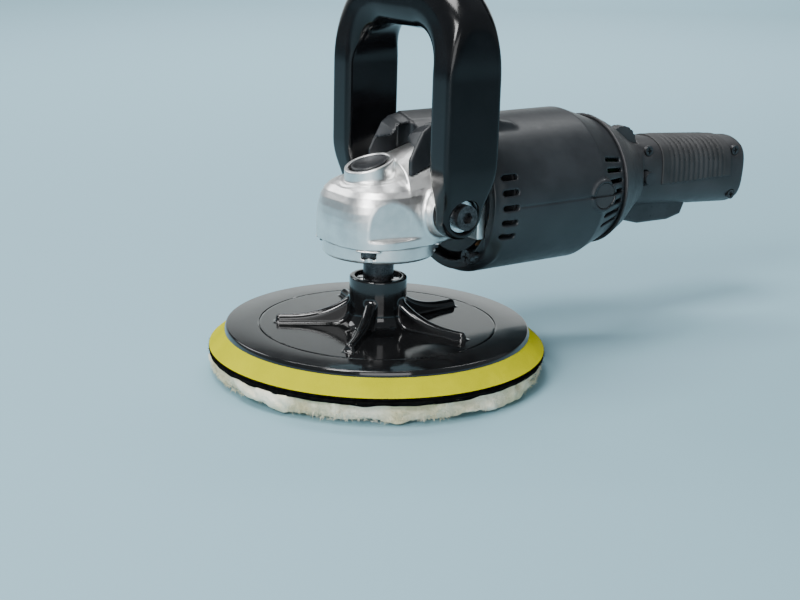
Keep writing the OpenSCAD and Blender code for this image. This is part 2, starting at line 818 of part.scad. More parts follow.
module lock_on_button() {
    color("black") translate([housing_end + 26, 0, motor_z]) rotate([90, 0, 0]) {
        translate([0, 0, 10.2]) cylinder(r = 3, h = 8);
        translate([0, 0, 17]) cylinder(r = 4, h = 5.6);
    }
}

module speed_dial() {
    knurls = 20;
    color([0.15, 0.15, 0.16]) translate([dial_x, -10.5, dial_z]) rotate([-90, 0, 0])
        difference() {
        cylinder(r = 11.5, h = 6);
        for (i = [0 : knurls - 1]) rotate([0, 0, i * 360 / knurls])
            translate([12, 0, -1]) cylinder(r = 1, h = 8, $fn = 16);
        translate([0, 0, -1]) cylinder(r = 2, h = 8);
    }
}

module speed_board() {
    color("darkgreen") {
        translate([housing_end + 1, -12.5, motor_z + 5]) cube([12.5, 1.6, 14.5]);
        translate([dial_x, -11, dial_z]) rotate([-90, 0, 0]) cylinder(r = 1.94, h = 7.2);
    }
}

module cable_gland() {
    color("black") translate([handle_end - 13, 0, motor_z - 5]) rotate([0, 94, 0]) difference() {
        union() {
            cylinder(r = 6.1, h = 13);
            translate([0, 0, 2]) cylinder(r1 = 6.1, r2 = 6.1, h = 1);
            translate([0, 0, 13]) cylinder(r = 8, h = 3);
        }
        translate([0, 0, -1]) cylinder(r = 4.2, h = 30);
    }
}

// ---- bow handle ----
module bow_leg(side) {
    difference() {
        translate([0, side * (bow_inner + bow_t / 2), 0]) rotate([90, 0, 0]) translate([0, 0, -bow_t / 2])
            linear_extrude(bow_t) union() {
                translate([bow_x, motor_z]) circle(bow_eye_r);
                polygon([[bow_x - bow_eye_r, motor_z], [bow_x + bow_eye_r, motor_z],
                    [bow_x + bow_half, bow_taper_z], [bow_x + bow_half, bow_top_z - 30],
                    [bow_x + bow_r, bow_top_z], [bow_x - bow_r, bow_top_z],
                    [bow_x - bow_half, bow_top_z - 30], [bow_x - bow_half, bow_taper_z]]);
                translate([bow_x, bow_top_z]) circle(bow_r);
            }
        // outer face leans in towards the eye
        translate([0, side * (bow_inner + bow_t), bow_taper_z]) rotate([-side * 16, 0, 0])
            translate([-50, side > 0 ? 0 : -30, -80]) cube([150, 30, 80]);
    }
}

module bow_handle() {
    color([0.06, 0.06, 0.07]) difference() {
        union() {
            for (s = [-1, 1]) bow_leg(s);
            translate([bow_x, bow_inner + 1, bow_top_z]) rotate([90, 0, 0])
                cylinder(r = bow_r, h = 2 * bow_inner + 2);
        }
        for (s = [-1, 1]) translate([bow_x, s * (bow_inner - 1), motor_z]) rotate([-s * 90, 0, 0]) {
            cylinder(r = 4.1, h = 30);
            translate([0, 0, 7]) cylinder(r = 9, h = 30);
        }
    }
}

module bow_washers() {
    color("silver") for (s = [-1, 1])
        translate([bow_x, s * (bow_inner + 6.05), motor_z]) rotate([-s * 90, 0, 0])
        difference() {
            cylinder(r = 8.4, h = 1.6);
            translate([0, 0, -1]) cylinder(r = 4.05, h = 4);
        }
}

module bow_screws() {
    color([0.2, 0.2, 0.2]) for (s = [-1, 1])
        translate([bow_x, s * (bow_inner + 7.7), motor_z]) rotate([s * 90, 0, 0])
        difference() {
            union() {
                translate([0, 0, -5]) cylinder(r = 6.5, h = 5);
                cylinder(r = 3.85, h = 15);
            }
            translate([0, 0, -6]) cylinder(r = 3.2, h = 4, $fn = 6);
        }
}

wool_bonnet();
bonnet_backing();
hook_layer();
foam_pad();
backing_plate();
threaded_insert();
spindle();
bevel_gear();
gear_key();
gear_retaining_ring();
lower_bearing_inner();
lower_bearing_cage();
lower_bearing_outer();
dust_ring();
bearing_cover();
cover_screws();
upper_spindle_bush();
gear_housing();
lock_button();
lock_spring();
pinion();
pinion_nut();
armature_shaft();
armature_core();
armature_windings();
commutator();
cooling_fan();
front_bearing_inner();
front_bearing_cage();
front_bearing_outer();
bearing_retainer();
rear_bearing_inner();
rear_bearing_cage();
rear_bearing_outer();
rear_bearing_boot();
stator_core();
field_coils();
air_baffle();
carbon_brushes();
brush_holders();
brush_springs();
brush_caps();
motor_housing();
housing_screws();
handle_shell_left();
handle_shell_right();
handle_screws();
soft_grip();
trigger();
trigger_spring();
switch_body();
lock_on_button();
speed_dial();
speed_board();
cable_gland();
bow_handle();
bow_screws();
bow_washers();
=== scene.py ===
import json
import math
import bpy
import numpy as np
from mathutils import Matrix, Vector


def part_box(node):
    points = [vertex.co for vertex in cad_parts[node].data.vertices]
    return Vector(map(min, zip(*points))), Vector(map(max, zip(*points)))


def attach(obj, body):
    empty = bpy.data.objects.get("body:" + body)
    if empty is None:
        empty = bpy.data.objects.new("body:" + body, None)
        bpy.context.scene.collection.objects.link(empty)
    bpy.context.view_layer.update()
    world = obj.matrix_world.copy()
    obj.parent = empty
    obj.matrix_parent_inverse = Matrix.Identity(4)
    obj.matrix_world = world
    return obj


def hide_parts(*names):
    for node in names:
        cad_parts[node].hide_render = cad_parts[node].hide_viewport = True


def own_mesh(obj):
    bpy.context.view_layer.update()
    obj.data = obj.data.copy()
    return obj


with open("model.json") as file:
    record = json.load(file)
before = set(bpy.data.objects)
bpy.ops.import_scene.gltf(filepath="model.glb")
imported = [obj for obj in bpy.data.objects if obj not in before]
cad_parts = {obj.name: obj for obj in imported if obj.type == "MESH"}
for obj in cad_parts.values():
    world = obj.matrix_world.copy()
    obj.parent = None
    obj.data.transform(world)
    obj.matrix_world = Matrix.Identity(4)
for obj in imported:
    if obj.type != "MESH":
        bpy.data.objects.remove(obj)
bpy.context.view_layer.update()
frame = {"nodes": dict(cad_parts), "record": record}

MM = 0.001
RNG = np.random.default_rng(7)


# ---------------------------------------------------------------- places taken from the frame
def box_mm(node):
    """Lowest and highest corner of a CAD node, in millimetres."""
    low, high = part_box(node)
    return np.array(low) / MM, np.array(high) / MM


plate_high = box_mm("backing_plate")[1]
foam_low, foam_high = box_mm("foam_pad")
hook_low, hook_high = box_mm("hook_layer")
loop_low, loop_high = box_mm("bonnet_backing")
wool_high = box_mm("wool_bonnet")[1]
head_low, head_high = box_mm("gear_housing")
cover_low, cover_high = box_mm("bearing_cover")
button_low, button_high = box_mm("lock_button")
shaft_low, shaft_high = box_mm("armature_shaft")
housing_low, housing_high = box_mm("motor_housing")
bow_low, bow_high = box_mm("bow_handle")
shell_low, shell_high = box_mm("handle_shell_left")
right_low, right_high = box_mm("handle_shell_right")
grip_low, grip_high = box_mm("soft_grip")
trigger_low, trigger_high = box_mm("trigger")

PAD_R = foam_high[0]
PLATE_TOP = foam_high[2] + 2.9
PLATE_R = PAD_R - 8.5
HUB_TOP = plate_high[2]
HUB_R = 15.4
SEAM_Z = cover_high[2]
COVER_Z = cover_low[2]
EAR_T = 1.0
MOTOR_Z = (shaft_low[2] + shaft_high[2]) / 2
HOUSING_X = head_high[0]
FLANGE_X = HOUSING_X - 5
HOUSING_END = housing_high[0]
HOUSING_R = 43.0
TAPER_X = HOUSING_END - 30
BUTTON_X = button_high[0] - 10.2
BRUSH_X = HOUSING_X + 75.5
BOW_X = (bow_low[0] + bow_high[0]) / 2
BOW_OUT = bow_high[1]
BOW_T = 16.5
BOW_HALF = bow_high[0] - BOW_X
BOW_TOP = bow_high[2]
HANDLE_END = shell_high[0]
BUTTON_TILT = math.radians(17)
BOSS_R = 12.8
COVER_SCREW_AT = 20.2
LOCK_PIN_X = -11.5
FLANGE_HALF = 33
FLANGE_ROUND = 11
EYE_R = 12.2
BOW_GRIP_R = 15
HOOD_HALF = 19.5
PLATE_WALL = 1.4
HUB_RIM_WALL = 2.8
WOOL_MIDDLE = 8.6
WOOL_HALF = 8.1
SCREW_POINTS = ((180.5, 106.3), (255.0, 100.5), (254.5, 72.8))


# ---------------------------------------------------------------- mesh helpers
def link(name, mesh, material, body, nodes=(), angle=35):
    """Adds a mesh as a piece that rides on a body and stands for CAD nodes."""
    piece = bpy.data.objects.new(name, mesh)
    bpy.context.scene.collection.objects.link(piece)
    mesh.materials.append(material)
    mesh.polygons.foreach_set("use_smooth", [True] * len(mesh.polygons))
    if angle:
        mesh.set_sharp_from_angle(angle=math.radians(angle))
    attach(piece, body)
    if nodes:
        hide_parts(*nodes)
    return piece


def mesh_from(name, verts_mm, faces):
    """A mesh from points in millimetres and faces of three or four corners."""
    mesh = bpy.data.meshes.new(name)
    verts = np.asarray(verts_mm, np.float32) * MM
    faces = np.asarray(faces, np.int32)
    count, corners = faces.shape
    mesh.vertices.add(len(verts))
    mesh.vertices.foreach_set("co", verts.ravel())
    mesh.loops.add(count * corners)
    mesh.loops.foreach_set("vertex_index", faces.ravel())
    mesh.polygons.add(count)
    mesh.polygons.foreach_set("loop_start", np.arange(count, dtype=np.int32) * corners)
    mesh.update(calc_edges=True)
    mesh.validate()
    return mesh


def arc(centre, radius, start, end, steps=6):
    """Points on a circular arc, angles in degrees."""
    angles = np.radians(np.linspace(start, end, steps + 1))
    return [(centre[0] + radius * math.cos(a), centre[1] + radius * math.sin(a)) for a in angles]


def lathe(profile, segments=192, centre=(0.0, 0.0)):
    """Revolves a closed outline of (radius, z) points about a vertical axis."""
    profile = np.array(profile, float)
    turn = np.linspace(0, 2 * math.pi, segments, endpoint=False)
    rings = np.stack([
        centre[0] + np.outer(np.cos(turn), profile[:, 0]),
        centre[1] + np.outer(np.sin(turn), profile[:, 0]),
        np.tile(profile[:, 1], (segments, 1)),
    ], axis=-1)
    count = len(profile)
    faces = []
    for i in range(segments):
        j = (i + 1) % segments
        for k in range(count):
            m = (k + 1) % count
            faces.append((i * count + k, j * count + k, j * count + m, i * count + m))
    return rings.reshape(-1, 3), np.array(faces)


# ---------------------------------------------------------------- distance fields, in millimetres
def smooth_min(a, b, k):
    h = np.clip(0.5 + 0.5 * (b - a) / k, 0, 1)
    return b * (1 - h) + a * h - k * h * (1 - h)


def smooth_max(a, b, k):
    return -smooth_min(-a, -b, k)


def rounded_rect(u, v, half_u, half_v, r):
    qu, qv = np.abs(u) - half_u + r, np.abs(v) - half_v + r
    return np.hypot(np.maximum(qu, 0), np.maximum(qv, 0)) + np.minimum(np.maximum(qu, qv), 0) - r


def capped(d2, w, low, high, r=0.3):
    """A flat outline's distance d2, extruded from low to high along w with rounded edges."""
    e = np.abs(w - (low + high) / 2) - (high - low) / 2
    return np.hypot(np.maximum(d2 + r, 0), np.maximum(e + r, 0)) + np.minimum(np.maximum(d2 + r, e + r), 0) - r


def outline_distance(u, v, points):
    """Signed distance to a closed outline, negative inside."""
    best = np.full(u.shape, 1e9, np.float32)
    inside = np.zeros(u.shape, bool)
    for (au, av), (bu, bv) in zip(points, points[1:] + points[:1]):
        eu, ev = bu - au, bv - av
        wu, wv = u - au, v - av
        t = np.clip((wu * eu + wv * ev) / (eu * eu + ev * ev), 0, 1)
        best = np.minimum(best, (wu - t * eu) ** 2 + (wv - t * ev) ** 2)
        rise = ev if ev else 1e-9
        crosses = ((av > v) != (bv > v)) & (wu < wv * eu / rise)
        inside ^= crosses
    best = np.sqrt(best)
    return np.where(inside, -best, best)


def smooth_step(low, high, w):
    t = np.clip((w - low) / (high - low), 0, 1)
    return t * t * (3 - 2 * t)


def surface_nets(field, low, high, step):
    """Closed quad mesh of the zero level of field(x, y, z)."""
    axes = [np.arange(low[i] - 2 * step, high[i] + 3 * step, step, dtype=np.float32) for i in range(3)]
    d = field(*np.meshgrid(*axes, indexing="ij")).astype(np.float32)
    inside = d < 0
    cells = np.zeros(tuple(n - 1 for n in d.shape), np.int8)
    corners = [(i, j, k) for i in (0, 1) for j in (0, 1) for k in (0, 1)]
    size = cells.shape
    for i, j, k in corners:
        cells += inside[i:i + size[0], j:j + size[1], k:k + size[2]]
    active = (cells > 0) & (cells < 8)
    at = np.argwhere(active)
    index = np.full(size, -1, np.int32)
    index[active] = np.arange(len(at))
    total = np.zeros((len(at), 3))
    hits = np.zeros(len(at))
    values = {c: d[at[:, 0] + c[0], at[:, 1] + c[1], at[:, 2] + c[2]] for c in corners}
    for a in corners:
        for axis in range(3):
            if a[axis]:
                continue
            b = tuple(1 if n == axis else a[n] for n in range(3))
            da, db = values[a], values[b]
            cross = (da < 0) != (db < 0)
            t = np.where(cross, da / np.where(cross, da - db, 1), 0)
            point = np.tile(np.array(a, float), (len(at), 1))
            point[:, axis] += t
            total[cross] += point[cross]
            hits += cross
    verts = (at + total / hits[:, None]) * step + np.array([a[0] for a in axes])
    faces = []
    for axis in range(3):
        u, v = [(1, 2), (2, 0), (0, 1)][axis]
        near = [slice(None)] * 3
        far = [slice(None)] * 3
        near[axis], far[axis] = slice(0, -1), slice(1, None)
        change = inside[tuple(near)] != inside[tuple(far)]
        spots = np.argwhere(change)
        spots = spots[(spots[:, u] > 0) & (spots[:, v] > 0)]
        spots = spots[(spots[:, u] < size[u]) & (spots[:, v] < size[v])]
        step_u, step_v = np.zeros(3, int), np.zeros(3, int)
        step_u[u], step_v[v] = 1, 1
        ring = [spots - step_u - step_v, spots - step_v, spots, spots - step_u]
        quad = np.stack([index[tuple(r.T)] for r in ring], axis=-1)
        flip = inside[tuple(spots.T)]
        quad[~flip] = quad[~flip][:, ::-1]
        faces.append(quad)
    faces = np.concatenate(faces)
    faces = faces[(faces >= 0).all(axis=1)]
    for _ in range(2):
        verts = pull_to_zero(field, verts, step)
    return verts, faces


def pull_to_zero(field, verts, step):
    """Moves points onto the field's zero level, along its gradient."""
    e = step * 0.25
    x, y, z = verts[:, 0], verts[:, 1], verts[:, 2]
    here = field(x, y, z)
    slope = np.stack([
        field(x + e, y, z) - field(x - e, y, z),
        field(x, y + e, z) - field(x, y - e, z),
        field(x, y, z + e) - field(x, y, z - e),
    ], axis=-1) / (2 * e)
    length = np.maximum((slope ** 2).sum(axis=1), 0.25)
    move = slope * (here / length)[:, None]
    cap = step * 0.5
    far = np.linalg.norm(move, axis=1, keepdims=True)
    return verts - move * np.minimum(1, cap / np.maximum(far, 1e-9))


def field_mesh(name, field, low, high, step):
    """A mesh of the zero level of a distance field within a box."""
    verts, faces = surface_nets(field, low, high, step)
    return mesh_from(name, verts, faces)


# ---------------------------------------------------------------- noise for mesh detail
def value_noise(points, scale, seed=0):
    """Smooth noise from -1 to 1 at points, with cells of that size."""
    p = points / scale + seed * 17.3
    cell = np.floor(p).astype(np.int64)
    f = p - cell
    f = f * f * (3 - 2 * f)
    total = np.zeros(len(points))
    for i in (0, 1):
        for j in (0, 1):
            for k in (0, 1):
                c = cell + np.array([i, j, k])
                h = (c[:, 0] * 73856093) ^ (c[:, 1] * 19349663) ^ (c[:, 2] * 83492791)
                h = (h ^ (h >> 13)) * 1274126177 & 0x7FFFFFFF
                weight = np.abs(1 - i - f[:, 0]) * np.abs(1 - j - f[:, 1]) * np.abs(1 - k - f[:, 2])
                total += weight * (h / 0x3FFFFFFF - 1)
    return total


# ---------------------------------------------------------------- materials
def shader(name, color, roughness, metallic=0.0, **sockets):
    """A material with a Principled shader whose constant values sit on its own sockets."""
    mat = bpy.data.materials.new(name)
    mat.use_nodes = True
    bsdf = mat.node_tree.nodes["Principled BSDF"]
    bsdf.inputs["Base Color"].default_value = (*color, 1)
    bsdf.inputs["Roughness"].default_value = roughness
    bsdf.inputs["Metallic"].default_value = metallic
    for key, value in sockets.items():
        bsdf.inputs[key.replace("_", " ")].default_value = value
    return mat, mat.node_tree, bsdf


def noise(tree, scale, detail=4.0, rough=0.6, stretch=None):
    """Noise in object space; scale is cells per metre, stretch scales the axes."""
    coord = tree.nodes.new("ShaderNodeTexCoord")
    tex = tree.nodes.new("ShaderNodeTexNoise")
    tex.inputs["Scale"].default_value = scale
    tex.inputs["Detail"].default_value = detail
    tex.inputs["Roughness"].default_value = rough
    source = coord.outputs["Object"]
    if stretch:
        mapping = tree.nodes.new("ShaderNodeMapping")
        mapping.inputs["Scale"].default_value = stretch
        tree.links.new(source, mapping.inputs["Vector"])
        source = mapping.outputs["Vector"]
    tree.links.new(source, tex.inputs["Vector"])
    return tex.outputs["Fac"]


def remap(tree, value, low, high, from_low=0.3, from_high=0.7):
    node = tree.nodes.new("ShaderNodeMapRange")
    for key, number in (("From Min", from_low), ("From Max", from_high), ("To Min", low), ("To Max", high)):
        node.inputs[key].default_value = number
    tree.links.new(value, node.inputs["Value"])
    return node.outputs["Result"]


def tint(tree, bsdf, value, dark, light, low=0.35, high=0.65):
    """Drives the base colour between two colours."""
    ramp = tree.nodes.new("ShaderNodeValToRGB")
    ramp.color_ramp.elements[0].position, ramp.color_ramp.elements[1].position = low, high
    ramp.color_ramp.elements[0].color, ramp.color_ramp.elements[1].color = (*dark, 1), (*light, 1)
    tree.links.new(value, ramp.inputs["Fac"])
    tree.links.new(ramp.outputs["Color"], bsdf.inputs["Base Color"])


def bump(tree, bsdf, value, strength, distance, after=None):
    """Adds a bump of that height in metres; several are chained."""
    node = tree.nodes.new("ShaderNodeBump")
    node.inputs["Strength"].default_value = strength
    node.inputs["Distance"].default_value = distance
    tree.links.new(value, node.inputs["Height"])
    if after:
        tree.links.new(after.outputs["Normal"], node.inputs["Normal"])
    tree.links.new(node.outputs["Normal"], bsdf.inputs["Normal"])
    return node


def surface(name, dark, light, roughness, metallic=0.0, patch=60, grain=2500, height=0.00003, strength=0.25,
            stretch=None, **sockets):
    """A finished surface: patchy colour, uneven roughness and a fine grained bump."""
    mat, tree, bsdf = shader(name, light, sum(roughness) / 2, metallic, **sockets)
    broad = noise(tree, patch, 5.0, 0.6)
    tint(tree, bsdf, broad, dark, light)
    tree.links.new(remap(tree, noise(tree, patch * 4, 6.0, 0.7, stretch), *roughness), bsdf.inputs["Roughness"])
    first = bump(tree, bsdf, noise(tree, grain, 3.0, 0.55, stretch), strength, height)
    bump(tree, bsdf, noise(tree, grain / 12, 2.0), strength * 0.5, height * 3, first)
    return mat


CAST = surface("cast_aluminium", (0.77, 0.77, 0.76), (0.93, 0.93, 0.92), (0.28, 0.40), 1.0, 90, 2600,
               0.00009, 0.6)
COVER_CAST = surface("cover_aluminium", (0.77, 0.77, 0.76), (0.93, 0.93, 0.92), (0.30, 0.42), 1.0, 90, 2600,
                     0.00007, 0.5)
PLATE_GLOSS = surface("plate_gloss", (0.003, 0.003, 0.0034), (0.008, 0.008, 0.0085), (0.06, 0.16), 0.0, 35, 900,
                      0.00002, 0.12, Coat_Weight=0.2, Coat_Roughness=0.05)
BOW_GLOSS = surface("bow_gloss", (0.002, 0.002, 0.0025), (0.005, 0.005, 0.006), (0.12, 0.22), 0.0, 30, 700,
                    0.00002, 0.1, Specular_IOR_Level=0.35)
HOUSING = surface("housing_plastic", (0.014, 0.016, 0.019), (0.024, 0.027, 0.031), (0.34, 0.48), 0.0, 35, 1500,
                  0.00003, 0.2)
HANDLE = surface("handle_plastic", (0.022, 0.022, 0.024), (0.040, 0.040, 0.043), (0.38, 0.55), 0.0, 40, 3200,
                 0.00008, 0.5)
RUBBER = surface("soft_rubber", (0.020, 0.020, 0.021), (0.038, 0.038, 0.040), (0.55, 0.75), 0.0, 60, 2600,
                 0.00008, 0.5)
BUTTON = surface("button_plastic", (0.014, 0.015, 0.017), (0.030, 0.032, 0.036), (0.26, 0.40), 0.0, 80, 2400,
                 0.00005, 0.35)
ZINC = surface("zinc", (0.62, 0.63, 0.64), (0.86, 0.87, 0.88), (0.16, 0.32), 1.0, 400, 3000, 0.00003, 0.3)
BLACK_STEEL = surface("black_steel", (0.020, 0.020, 0.022), (0.055, 0.055, 0.060), (0.20, 0.38), 0.6, 300, 2200,
                      0.00003, 0.3)
SCREW = surface("screw_steel", (0.035, 0.035, 0.037), (0.10, 0.10, 0.105), (0.22, 0.40), 0.8, 600, 3000,
                0.00003, 0.3)
STEEL = surface("machined_steel", (0.42, 0.43, 0.45), (0.66, 0.67, 0.69), (0.18, 0.34), 1.0, 300, 2500,
                0.00003, 0.3)
BRASS = surface("brass", (0.60, 0.42, 0.16), (0.80, 0.62, 0.30), (0.22, 0.38), 1.0, 300, 2500, 0.00003, 0.3)
COPPER = surface("copper", (0.42, 0.15, 0.05), (0.72, 0.33, 0.15), (0.25, 0.42), 0.9, 500, 1800, 0.00012, 0.7)
IRON = surface("laminations", (0.20, 0.20, 0.21), (0.34, 0.34, 0.35), (0.35, 0.55), 0.9, 250, 1600, 0.00008, 0.5,
               (6.0, 0.3, 0.3))
CARBON = surface("carbon", (0.020, 0.020, 0.020), (0.050, 0.050, 0.050), (0.55, 0.75), 0.0, 400, 3000,
               0.00005, 0.5)
BOARD = surface("board", (0.015, 0.10, 0.035), (0.03, 0.17, 0.06), (0.25, 0.45), 0.0, 500, 2500, 0.00003, 0.3)
FOAM = surface("yellow_foam", (0.43, 0.41, 0.0), (0.49, 0.465, 0.0), (0.80, 0.95), 0.0, 60, 1500, 0.0003, 0.7,
               Specular_IOR_Level=0.1)
CLOTH = surface("black_cloth", (0.001, 0.001, 0.001), (0.006, 0.006, 0.006), (0.85, 0.98), 0.0, 300, 1800,
                0.0002, 0.6, Specular_IOR_Level=0.05)
WOOL = surface("wool", (0.66, 0.61, 0.38), (0.97, 0.94, 0.78), (0.8, 0.95), 0.0, 45, 700, 0.0008, 0.7,
               Sheen_Weight=0.15, Sheen_Roughness=0.5, Specular_IOR_Level=0.1)

SLOT_MATERIALS = {
    "zinc": ZINC, "black_steel": BLACK_STEEL, "gear_steel": STEEL, "bearing_steel": STEEL, "cage_brass": BRASS,
    "bronze": BRASS, "spring_steel": STEEL, "laminations": IRON, "copper": COPPER, "fan_plastic": HANDLE,
    "carbon": CARBON, "brass_sheet": BRASS, "screw_steel": SCREW, "switch_plastic": HANDLE, "board": BOARD,
    "button_plastic": BUTTON, "handle_plastic": HANDLE, "soft_rubber": RUBBER, "cast_aluminium": CAST,
    "housing_plastic": HOUSING, "bow_plastic": BOW_GLOSS, "plate_plastic": PLATE_GLOSS, "yellow_foam": FOAM,
    "hook_cloth": CLOTH, "loop_cloth": CLOTH, "wool": WOOL,
}


# ---------------------------------------------------------------- gear head
def head_field(x, y, z):
    """The die-cast gear housing: squarish foot, dome, button boss, neck and flange."""
    girth = rounded_rect(x, y, 30.6, 30.6, 23.5) + 32.6
    profile = [(0, SEAM_Z), (32.6, SEAM_Z), (32.6, 84), (32.3, 88), (31.7, 92), (30.6, 96), (28.7, 99.6),
               (26, 102.3), (22.5, 104.3), (18.5, 105.7), (13, 106.8), (6, 107.4), (0, 107.5)]
    body = outline_distance(np.maximum(girth, 0), z, profile)
    # slightly hollowed side facets that start at the front corners
    lean = math.radians(13)
    facet = np.abs(y) * math.cos(lean) - x * math.sin(lean) - 28.7
    upper = smooth_max(facet, body, 0.6)
    body = body + (upper - body) * smooth_step(SEAM_Z + 4.2, SEAM_Z + 5.8, z)
    # neck: cone, then a cylinder, about the motor axis
    rho = np.hypot(y, z - MOTOR_Z)
    neck_r = 25.0 + np.clip(x - 4, 0, 26) * 7 / 26
    neck = smooth_max(np.maximum(rho - neck_r, 4 - x), x - FLANGE_X - 1, 0.5)
    neck = smooth_max(neck, SEAM_Z + 0.2 - z + np.clip(x - 31.5, 0, 9) * 2.6, 1.5)
    body = smooth_min(body, neck, 5.5)
    # side bosses for the bow handle
    seat = capped(np.hypot(x - BOW_X, z - MOTOR_Z) - 12.8, y, -36, 36, 0.8)
    body = smooth_min(body, seat, 3.0)
    flange = rounded_rect(y, z - MOTOR_Z, FLANGE_HALF, FLANGE_HALF, FLANGE_ROUND)
    flange = capped(flange, x, FLANGE_X, HOUSING_X, 0.6)
    body = smooth_min(body, flange, 1.6)
    # raised boss with its slanted rim
    rim = (z - 113.9) * math.cos(BUTTON_TILT) - (x - BUTTON_X) * math.sin(BUTTON_TILT)
    from_button = np.hypot(x - BUTTON_X, y)
    steps = 0.22 * np.cos((from_button - BOSS_R) * 2.1) * smooth_step(19, 15, from_button)
    body = body + steps * smooth_step(98, 102, z) * smooth_step(2, -6, x)
    boss = smooth_max(from_button - BOSS_R, rim, 0.5)
    body = smooth_min(body, boss, 1.2)
    # flat foot, button well, gear chamber, bearing seats
    body = smooth_max(body, SEAM_Z - z, 0.4)
    body = smooth_max(body, -np.maximum(from_button - 10.75, 105 - z), 0.4)
    roof = np.hypot(x, y) - 28 + 0.9 * np.maximum(z - 93, 0)
    chamber = np.maximum(np.maximum(roof, z - 101.5), np.maximum(x - 26, np.abs(y) - 26.6))
    from_screw = np.hypot(np.abs(x) - COVER_SCREW_AT, np.abs(y) - COVER_SCREW_AT)
    posts = np.minimum(from_screw - 4.3, np.maximum(np.hypot(x, y) - 8, 92.5 - z))
    body = np.maximum(body, -np.maximum(chamber, -posts))
    back = np.minimum(np.maximum(rho - 11, 29 - x), np.maximum(rho - 28, 36.2 - x))
    body = np.maximum(body, -np.minimum(back, np.maximum(rho - 7.5, 24 - x)))
    bush = np.maximum(np.hypot(x, y) - 6, z - 100.1)
    pin = np.maximum(np.hypot(x - LOCK_PIN_X, y) - 2.7, z - 108)
    screws = np.maximum(from_screw - 2.2, z - 87)
    return np.maximum(body, -np.minimum(np.minimum(bush, pin), screws))


def make_gear_housing():
    mesh = field_mesh("gear_casting", head_field, head_low - 0.5, head_high + 0.5, 0.55)
    return link("gear_casting", mesh, CAST, "machine", ["gear_housing"], 0)


def cover_field(x, y, z):
    """The bearing cover: round dish, four ears and a screw notch in each ear."""
    rho = np.hypot(x, y)
    dish = capped(rho - 30, z, COVER_Z, SEAM_Z - 0.1, 2.0)
    dish = np.minimum(dish, capped(rho - 30, z, COVER_Z + 3, SEAM_Z - 0.1, 0.2))
    ears = capped(rounded_rect(x, y, 30, 30, 21), z, SEAM_Z - EAR_T, SEAM_Z - 0.1, 0.2)
    ears = np.maximum(ears, np.abs(np.abs(x) - np.abs(y)) - 9)
    body = smooth_min(dish, ears, 0.8)
    ax, ay = np.abs(x), np.abs(y)
    along = (ax + ay) * math.sqrt(0.5) - 28.57
    across = (ax - ay) * math.sqrt(0.5)
    notch = np.maximum(np.abs(across) - 4, -along)
    notch = np.maximum(np.minimum(notch, np.hypot(along, across) - 4), z - SEAM_Z + EAR_T)
    notch = smooth_max(notch, SEAM_Z - EAR_T - 4.4 - z, 1.5)
    body = smooth_max(body, -notch, 0.3)
    holes = np.minimum(np.hypot(along, across) - 2.2, np.maximum(rho - 16, COVER_Z + 2 - z))
    return np.maximum(body, -np.minimum(holes, rho - 7.4))


def make_bearing_cover():
    mesh = field_mesh("cover_casting", cover_field, cover_low - 0.5, cover_high + 0.5, 0.45)
    return link("cover_casting", mesh, COVER_CAST, "machine", ["bearing_cover"], 0)


def make_lock_button():
    """Dished oval cap in its well, with the lock pin under it."""
    def field(x, y, z):
        rho = np.hypot(x - BUTTON_X, y)
        top = (z - 114.3) * math.cos(BUTTON_TILT) - (x - BUTTON_X) * math.sin(BUTTON_TILT)
        dish = top + 1.4 * np.clip(1 - (rho / 8.2) ** 2, 0, 1)
        cap = smooth_max(rho - 9.3, dish, 0.5)
        cap = np.minimum(cap, np.maximum(rho - 10.15, top + 2.6))
        cap = np.maximum(cap, 109.7 - z)
        cap = np.maximum(cap, -np.maximum(rho - 8, z - 110.8))
        pin = np.maximum(np.hypot(x - LOCK_PIN_X, y) - 2.5, np.maximum(87 - z, z - 112))
        return np.minimum(cap, pin)

    mesh = field_mesh("lock_cap", field, button_low - 0.5, button_high + 0.5, 0.35)
    return link("lock_cap", mesh, BUTTON, "lock", ["lock_button"], 0)


# ---------------------------------------------------------------- backing plate and pad
RIB_COUNT = 5
RIB_START = math.radians(4)
RIB_END = 54.5
GROOVE_R = 63.3


def hub_field(x, y, z):
    """Hub, ribs and the inner disc of the backing plate, blended by fillets."""
    rho = np.hypot(x, y)
    disc = capped(rho - GROOVE_R, z, PLATE_TOP - PLATE_WALL, PLATE_TOP, 0.25)
    hub = capped(rho - HUB_R, z, PLATE_TOP - 1, HUB_TOP, 0.9)
    body = smooth_min(disc, hub, 9.0)
    angle = np.arctan2(y, x) - RIB_START
    step = 2 * math.pi / RIB_COUNT
    angle = (angle + step / 2) % step - step / 2
    along, across = rho * np.cos(angle), rho * np.sin(angle)
    t = np.clip((RIB_END - along) / (RIB_END - HUB_R), 0, 1)
    crest = PLATE_TOP + 4.4 + 10.6 * t ** 2.9
    width = 2.5 + 0.5 * t
    fin = smooth_max(z - crest, np.abs(across) - width, 3.4)
    fin = smooth_max(fin, along - RIB_END, 2.0)
    fin = np.maximum(fin, PLATE_TOP - 1 - z)
    body = smooth_min(body, np.maximum(fin, 8 - along), 1.6)
    recess = np.maximum(rho - HUB_R + HUB_RIM_WALL, HUB_TOP - 2.3 - z)
    bore = np.maximum(rho - 11.6, PLATE_TOP - 1.3 - z)
    return smooth_max(body, -np.minimum(recess, bore), 0.4)


